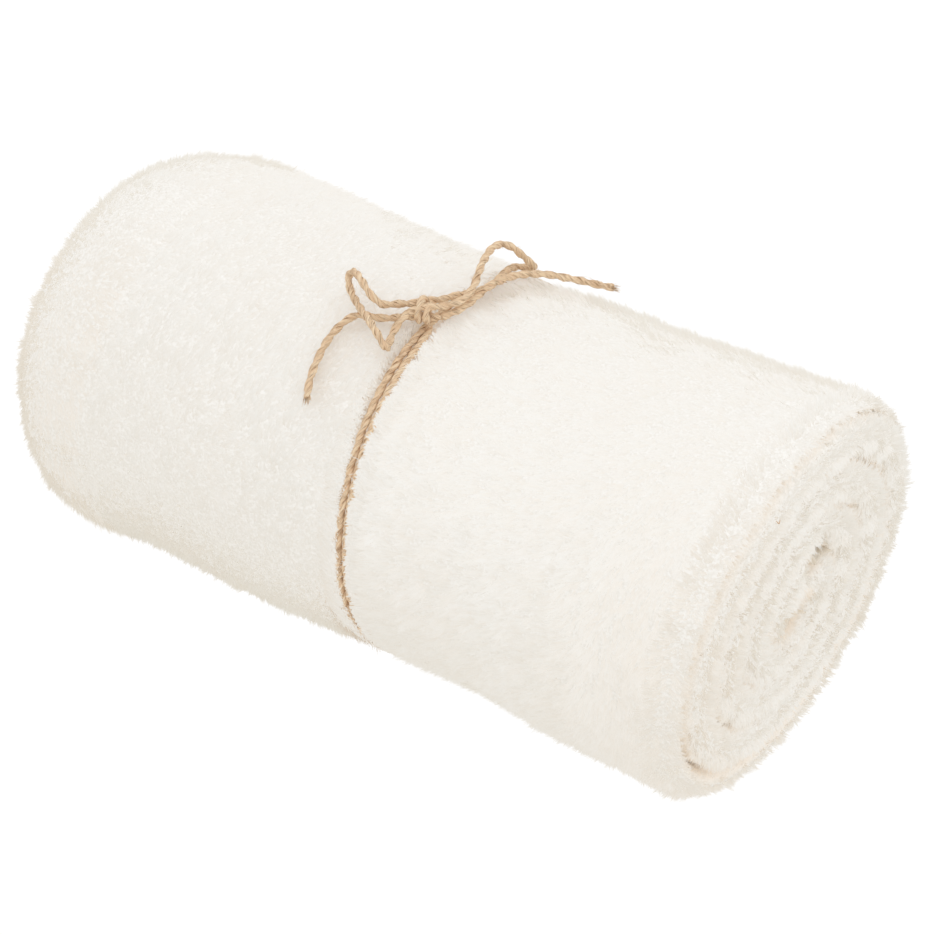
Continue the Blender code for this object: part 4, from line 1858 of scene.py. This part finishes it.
class Finishes:
    """The part's materials."""

    def __init__(self, cloth: ClothColours, jute: JuteColours) -> None:
        """Build them.

        Args:
            cloth: Colours of the towel.
            jute: Colours of the twine.
        """
        self.pile = self.make_pile(cloth)
        self.skin = self.make_skin(cloth)
        self.woven = self.make_woven(cloth)
        self.jute = self.make_jute(jute)
        self.fleck = self.make_fleck(jute)

    @staticmethod
    def make_pile(colours: ClothColours) -> bpy.types.Material:
        """Cotton pile: lighter at its tips with painted shade towards the roots, warmer at random from tuft
        to tuft and in wide soft patches, and warmer where painted shade is carried in its strand map.
        """
        finish = Finish("terry_pile")
        tint, height = finish.chart()
        patch = finish.noise(finish.place(), 26.0, 3.0).between(0.40, 0.68)
        # Darker towards each yarn's root: painted shade deep in the pile.
        yarn = finish.mix(height.between(-0.15, 0.75), colours.root, colours.tip)
        # Warmer at random and in patches, and warmer still by the painted shade that the strand map carries.
        toned = finish.mix(patch * 0.08 + tint * 0.24, yarn, colours.warm)
        finish.link("Base Color", toned)
        finish.link("Roughness", height * 0.10 + 0.86)
        finish.constant(Sheen_Weight=colours.sheen, Specular_IOR_Level=0.2)
        return finish.material

    @staticmethod
    def make_skin(colours: ClothColours) -> bpy.types.Material:
        """Ground cloth under the pile, with its loops' roots raised and painted shade, in the gap colour,
        deep in the gaps, the waist's groove and the pockets.
        """
        finish = Finish("terry_ground")
        depth, _ = finish.chart()
        loops = finish.noise(finish.place(), 900.0, 2.0)
        ground = finish.mix(loops.between(0.3, 0.7), colours.skin, colours.root)
        # Mixing towards the gap colour by depth paints shade in the gaps, the groove and the pockets.
        finish.link("Base Color", finish.mix(depth * 0.9, ground, colours.gap))
        finish.link("Roughness", loops * 0.1 + 0.88)
        finish.bump(loops, 0.0002)
        finish.constant(Specular_IOR_Level=0.2)
        return finish.material

    @staticmethod
    def make_woven(colours: ClothColours) -> bpy.types.Material:
        """Flat-woven border cloth: fine plain weave, a little creased, darker between its threads and with
        painted shade in its creases' hollows.
        """
        finish = Finish("woven_border")
        along, across = finish.chart()
        threads = (along * 7800.0).wave() * (across * 7800.0).wave()
        weave = threads * 0.5 + 0.5
        crease = finish.noise(finish.place(), 160.0, 3.0)
        # Darker between the threads, and in the creases' hollows as painted shade.
        finish.link("Base Color", finish.mix(weave * 0.3 + crease * 0.6, colours.woven_shade, colours.woven))
        finish.link("Roughness", crease * 0.1 + 0.82)
        finish.bump(weave * 0.25 + crease, 0.0005)
        finish.constant(Specular_IOR_Level=0.25)
        return finish.material

    @staticmethod
    def make_jute(colours: JuteColours) -> bpy.types.Material:
        """Jute: streaks of light and dark fibre along each ply."""
        finish = Finish("jute_twine")
        around, along = finish.chart()
        fine = finish.noise(finish.vector(around * 24.0, along * 2.6), 1.0, 3.0)
        wide = finish.noise(finish.vector(around * 4.0, along * 0.7), 1.0, 2.0)
        place = finish.noise(finish.place(), 70.0, 2.0)
        pale = finish.mix(wide.between(0.35, 0.70), colours.middle, colours.light)
        streaked = finish.mix(fine.between(0.53, 0.63) * 0.92 + place * 0.06, pale, colours.dark)
        finish.link("Base Color", streaked)
        finish.link("Roughness", fine * 0.2 + 0.72)
        finish.bump(fine, 0.0003)
        finish.constant(Specular_IOR_Level=0.3)
        return finish.material

    @staticmethod
    def make_fleck(colours: JuteColours) -> bpy.types.Material:
        """A stray bit of brown fibre."""
        finish = Finish("stray_fibre")
        tone = finish.noise(finish.place(), 800.0, 2.0)
        finish.link("Base Color", finish.mix(tone, colours.fleck, colours.middle))
        finish.constant(Roughness=0.8)
        return finish.material


@dataclass(frozen=True)
class ViewSizes:
    """Where the camera stands."""

    azimuth: float = math.radians(35)
    elevation: float = math.radians(38)
    distance: float = 1.3006
    focal_pixels: float = 3400.0
    picture_pixels: float = 935.0
    sensor_mm: float = 36.0
    clip_start: float = 0.05
    target: Point = (0.0147, -0.0014, 0.0722)


class Studio:
    """Camera, floor and light."""

    LIT_PLACE = (0.0, 0.0, 0.07)
    FLOOR_SIZE = 6.0
    FLOOR_HEIGHT = -0.0003
    FLOOR_GLOW = 1.05
    SKY_LOW = (0.770, 0.735, 0.670, 1.0)
    SKY_HIGH = (1.03, 1.03, 1.04, 1.0)
    LIGHTS = (("top_light", (0.35, 0.35, 1.5), 1.2, 1.0), ("side_light", (1.3, -0.6, 0.9), 1.0, 0.5))

    @staticmethod
    def stand(name: str, data: bpy.types.ID, place: Array, back: Array, right: Array) -> bpy.types.Object:
        """Stand a camera or a light in the scene.

        Args:
            name: Its name.
            data: Its own settings.
            place: Where it stands.
            back: The direction behind it.
            right: The direction to its right.

        Returns:
            The object.
        """
        matrix = np.eye(4)
        matrix[:3, :3] = np.stack((right, np.cross(back, right), back), axis=1)
        matrix[:3, 3] = place
        made = bpy.data.objects.new(name, data)
        made.matrix_world = matrix.T.tolist()
        bpy.context.scene.collection.objects.link(made)
        return made

    @classmethod
    def camera(cls, view: ViewSizes) -> None:
        """Stand the camera at the picture's angle.

        Args:
            view: Where it stands.
        """
        aside, ahead = math.sin(view.azimuth), math.cos(view.azimuth)
        level = math.cos(view.elevation)
        back = np.array((aside * level, -ahead * level, math.sin(view.elevation)))
        data = bpy.data.cameras.new("camera")
        data.sensor_width = view.sensor_mm
        data.lens = view.focal_pixels / view.picture_pixels * view.sensor_mm
        data.clip_start = view.clip_start
        place = np.array(view.target) + back * view.distance
        bpy.context.scene.camera = cls.stand("camera", data, place, back, np.array((ahead, aside, 0.0)))

    @classmethod
    def floor(cls) -> None:
        """Lay a plain white floor."""
        bpy.ops.mesh.primitive_plane_add(size=cls.FLOOR_SIZE, location=(0.0, 0.0, cls.FLOOR_HEIGHT))
        floor = bpy.context.object
        floor.name = "floor"
        finish = Finish("floor_white")
        finish.constant(Base_Color=(0.0, 0.0, 0.0, 1.0), Roughness=1.0, Specular_IOR_Level=0.0)
        finish.constant(Emission_Color=(1.0, 1.0, 1.0, 1.0), Emission_Strength=cls.FLOOR_GLOW)
        floor.data.materials.append(finish.material)
        floor.visible_diffuse = False
        floor.visible_shadow = False

    @classmethod
    def light(cls, name: str, place: Point, size: float, power: float) -> None:
        """Hang a wide soft white light that faces the roll.

        Args:
            name: The light's name.
            place: Where it hangs.
            size: Its side.
            power: Its power in watts.
        """
        data = bpy.data.lights.new(name, "AREA")
        data.size = size
        data.energy = power
        back = unit(np.array(place) - np.array(cls.LIT_PLACE))
        cls.stand(name, data, np.array(place), back, unit(np.cross((0.0, 1.0, 0.001), back)))

    @classmethod
    def build(cls) -> None:
        """Set the floor, the surrounding light and the lamps."""
        cls.floor()
        world = bpy.data.worlds.new("studio")
        world.use_nodes = True
        sky = Nodes(world.node_tree)
        height = sky.part(sky.node("ShaderNodeTexCoord", {}, "Generated"), "Z") * 0.5 + 0.5
        around = sky.mix(height, cls.SKY_LOW, cls.SKY_HIGH)
        sky.tree.links.new(around.output, sky.tree.nodes["Background"].inputs["Color"])
        bpy.context.scene.world = world
        bpy.context.scene.view_settings.view_transform = "Standard"
        for row in cls.LIGHTS:
            cls.light(*row)


@dataclass(frozen=True)
class FleckSizes:
    """Sizes of the stray fibre, with its place counted from the axis on the near end."""

    place: Point = (0.0046, -0.0316, 0.0640)
    steps: tuple[Point, ...] = (
        (-0.0002, -0.0016, 0.0016),
        (0.0003, -0.0006, 0.0001),
        (0.0, 0.0006, -0.0006),
        (-0.0005, 0.0017, -0.0002),
    )
    spacing: float = 0.0004
    sides: int = 6
    radius: float = 0.00022
    taper: float = 0.6


def stray_fibre(form: RollForm, material: bpy.types.Material) -> bpy.types.Object:
    """Lay a short bent fibre on the pile of the spiral end.

    Args:
        form: The roll's form.
        material: The fibre's material.

    Returns:
        The piece.
    """
    sizes, fleck = form.sizes, FleckSizes()
    middle = np.array((form.half + sizes.middle_x, sizes.middle_y, sizes.axis_height)) + fleck.place
    path = Route.smooth([tuple(middle + np.array(step)) for step in fleck.steps], fleck.spacing)
    _, across, over = Route.frames(path)
    turn = np.linspace(0, 2 * math.pi, fleck.sides, endpoint=False)[None, :, None]
    share = np.linspace(-1, 1, len(path)) ** 2
    radius = fleck.radius * (1 - fleck.taper * share)[:, None, None]
    rings = path[:, None] + (across[:, None] * np.cos(turn) + over[:, None] * np.sin(turn)) * radius
    return Tube.along("stray_fibre", rings, material, Slot.JUTE)


SKIN_OFFSET = -0.0022
HOLLOWS = (Hollow(0.0150, 0.0150, 0.0088, 0.0110), Hollow(0.0005, -0.0085, 0.0095, 0.0125))
NEAR_FACE = FaceSizes(0.0075, 0.0055, 0.82, shoulder=(2.0, 3.0), rim_crest=-0.60, hollows=HOLLOWS)
FAR_FACE = FaceSizes(0.0055, 0.0050, 0.80, shoulder=(0.58, 0.76), rim_crest=0.0, hollows=())
INNER_FOLDS = {
    "inner_fold_upper": Fold(
        line=(
            (0.0028, 0.0199),
            (0.0055, 0.0206),
            (0.0105, 0.0165),
            (0.0148, 0.0097),
            (0.0199, 0.0102),
            (0.0251, 0.0094),
        ),
        front=0.004,
        back=0.016,
    ),
    "inner_fold_middle": Fold(
        line=((0.0098, 0.0242), (0.0140, 0.0200), (0.0185, 0.0160), (0.0235, 0.0130)),
        front=0.005,
        back=0.016,
    ),
    "inner_fold_lower": Fold(
        line=(
            (-0.0143, 0.0010),
            (-0.0140, -0.0040),
            (-0.0073, -0.0083),
            (-0.0030, -0.0060),
            (0.0045, -0.0079),
            (0.0110, -0.0110),
        ),
        front=0.004,
        back=0.016,
    ),
}


def main() -> None:
    """Build the towel, its tie and the studio, and report each piece."""
    logging.basicConfig(level=logging.INFO, format="%(message)s")
    Studio.camera(ViewSizes())
    finishes = Finishes(ClothColours(), JuteColours())
    form = RollForm(RollSizes())
    twine = Twine(TwineSizes(), FibreSizes(), finishes.jute, seed=23)
    bow = Bow(form, twine, BandSizes(), KnotSizes())
    report(*bow.free_strands())
    report(*bow.held_strands())
    report(twine.make_fibres("twine_fibres"))
    side = SideSkin(form, SKIN_OFFSET)
    near = EndSkin(form, True, SKIN_OFFSET, NEAR_FACE)
    far = EndSkin(form, False, SKIN_OFFSET, FAR_FACE)
    skin = SkinBuilder((side, near, far), finishes.skin).build()
    report(skin)
    cloth = BorderCloth(form, finishes.woven)
    for name, fold in INNER_FOLDS.items():
        report(cloth.inner_fold(name, fold))
    report(cloth.outer_hem())
    pile = TowelPile(form, PileBuilder(finishes.pile, seed=61))
    report(*pile.side(side, 0.62))
    report(pile.end(near, 0.45, TowelPile.UNDER, "pile_near_end_under"))
    report(pile.end(near, 0.32, TowelPile.EDGE, "pile_near_end"))
    report(pile.end(far, 0.50, TowelPile.BODY, "pile_far_end"))
    report(*pile.collar(CollarSizes()))
    report(stray_fibre(form, finishes.fleck))
    Studio.build()


if __name__ == "__main__":
    main()
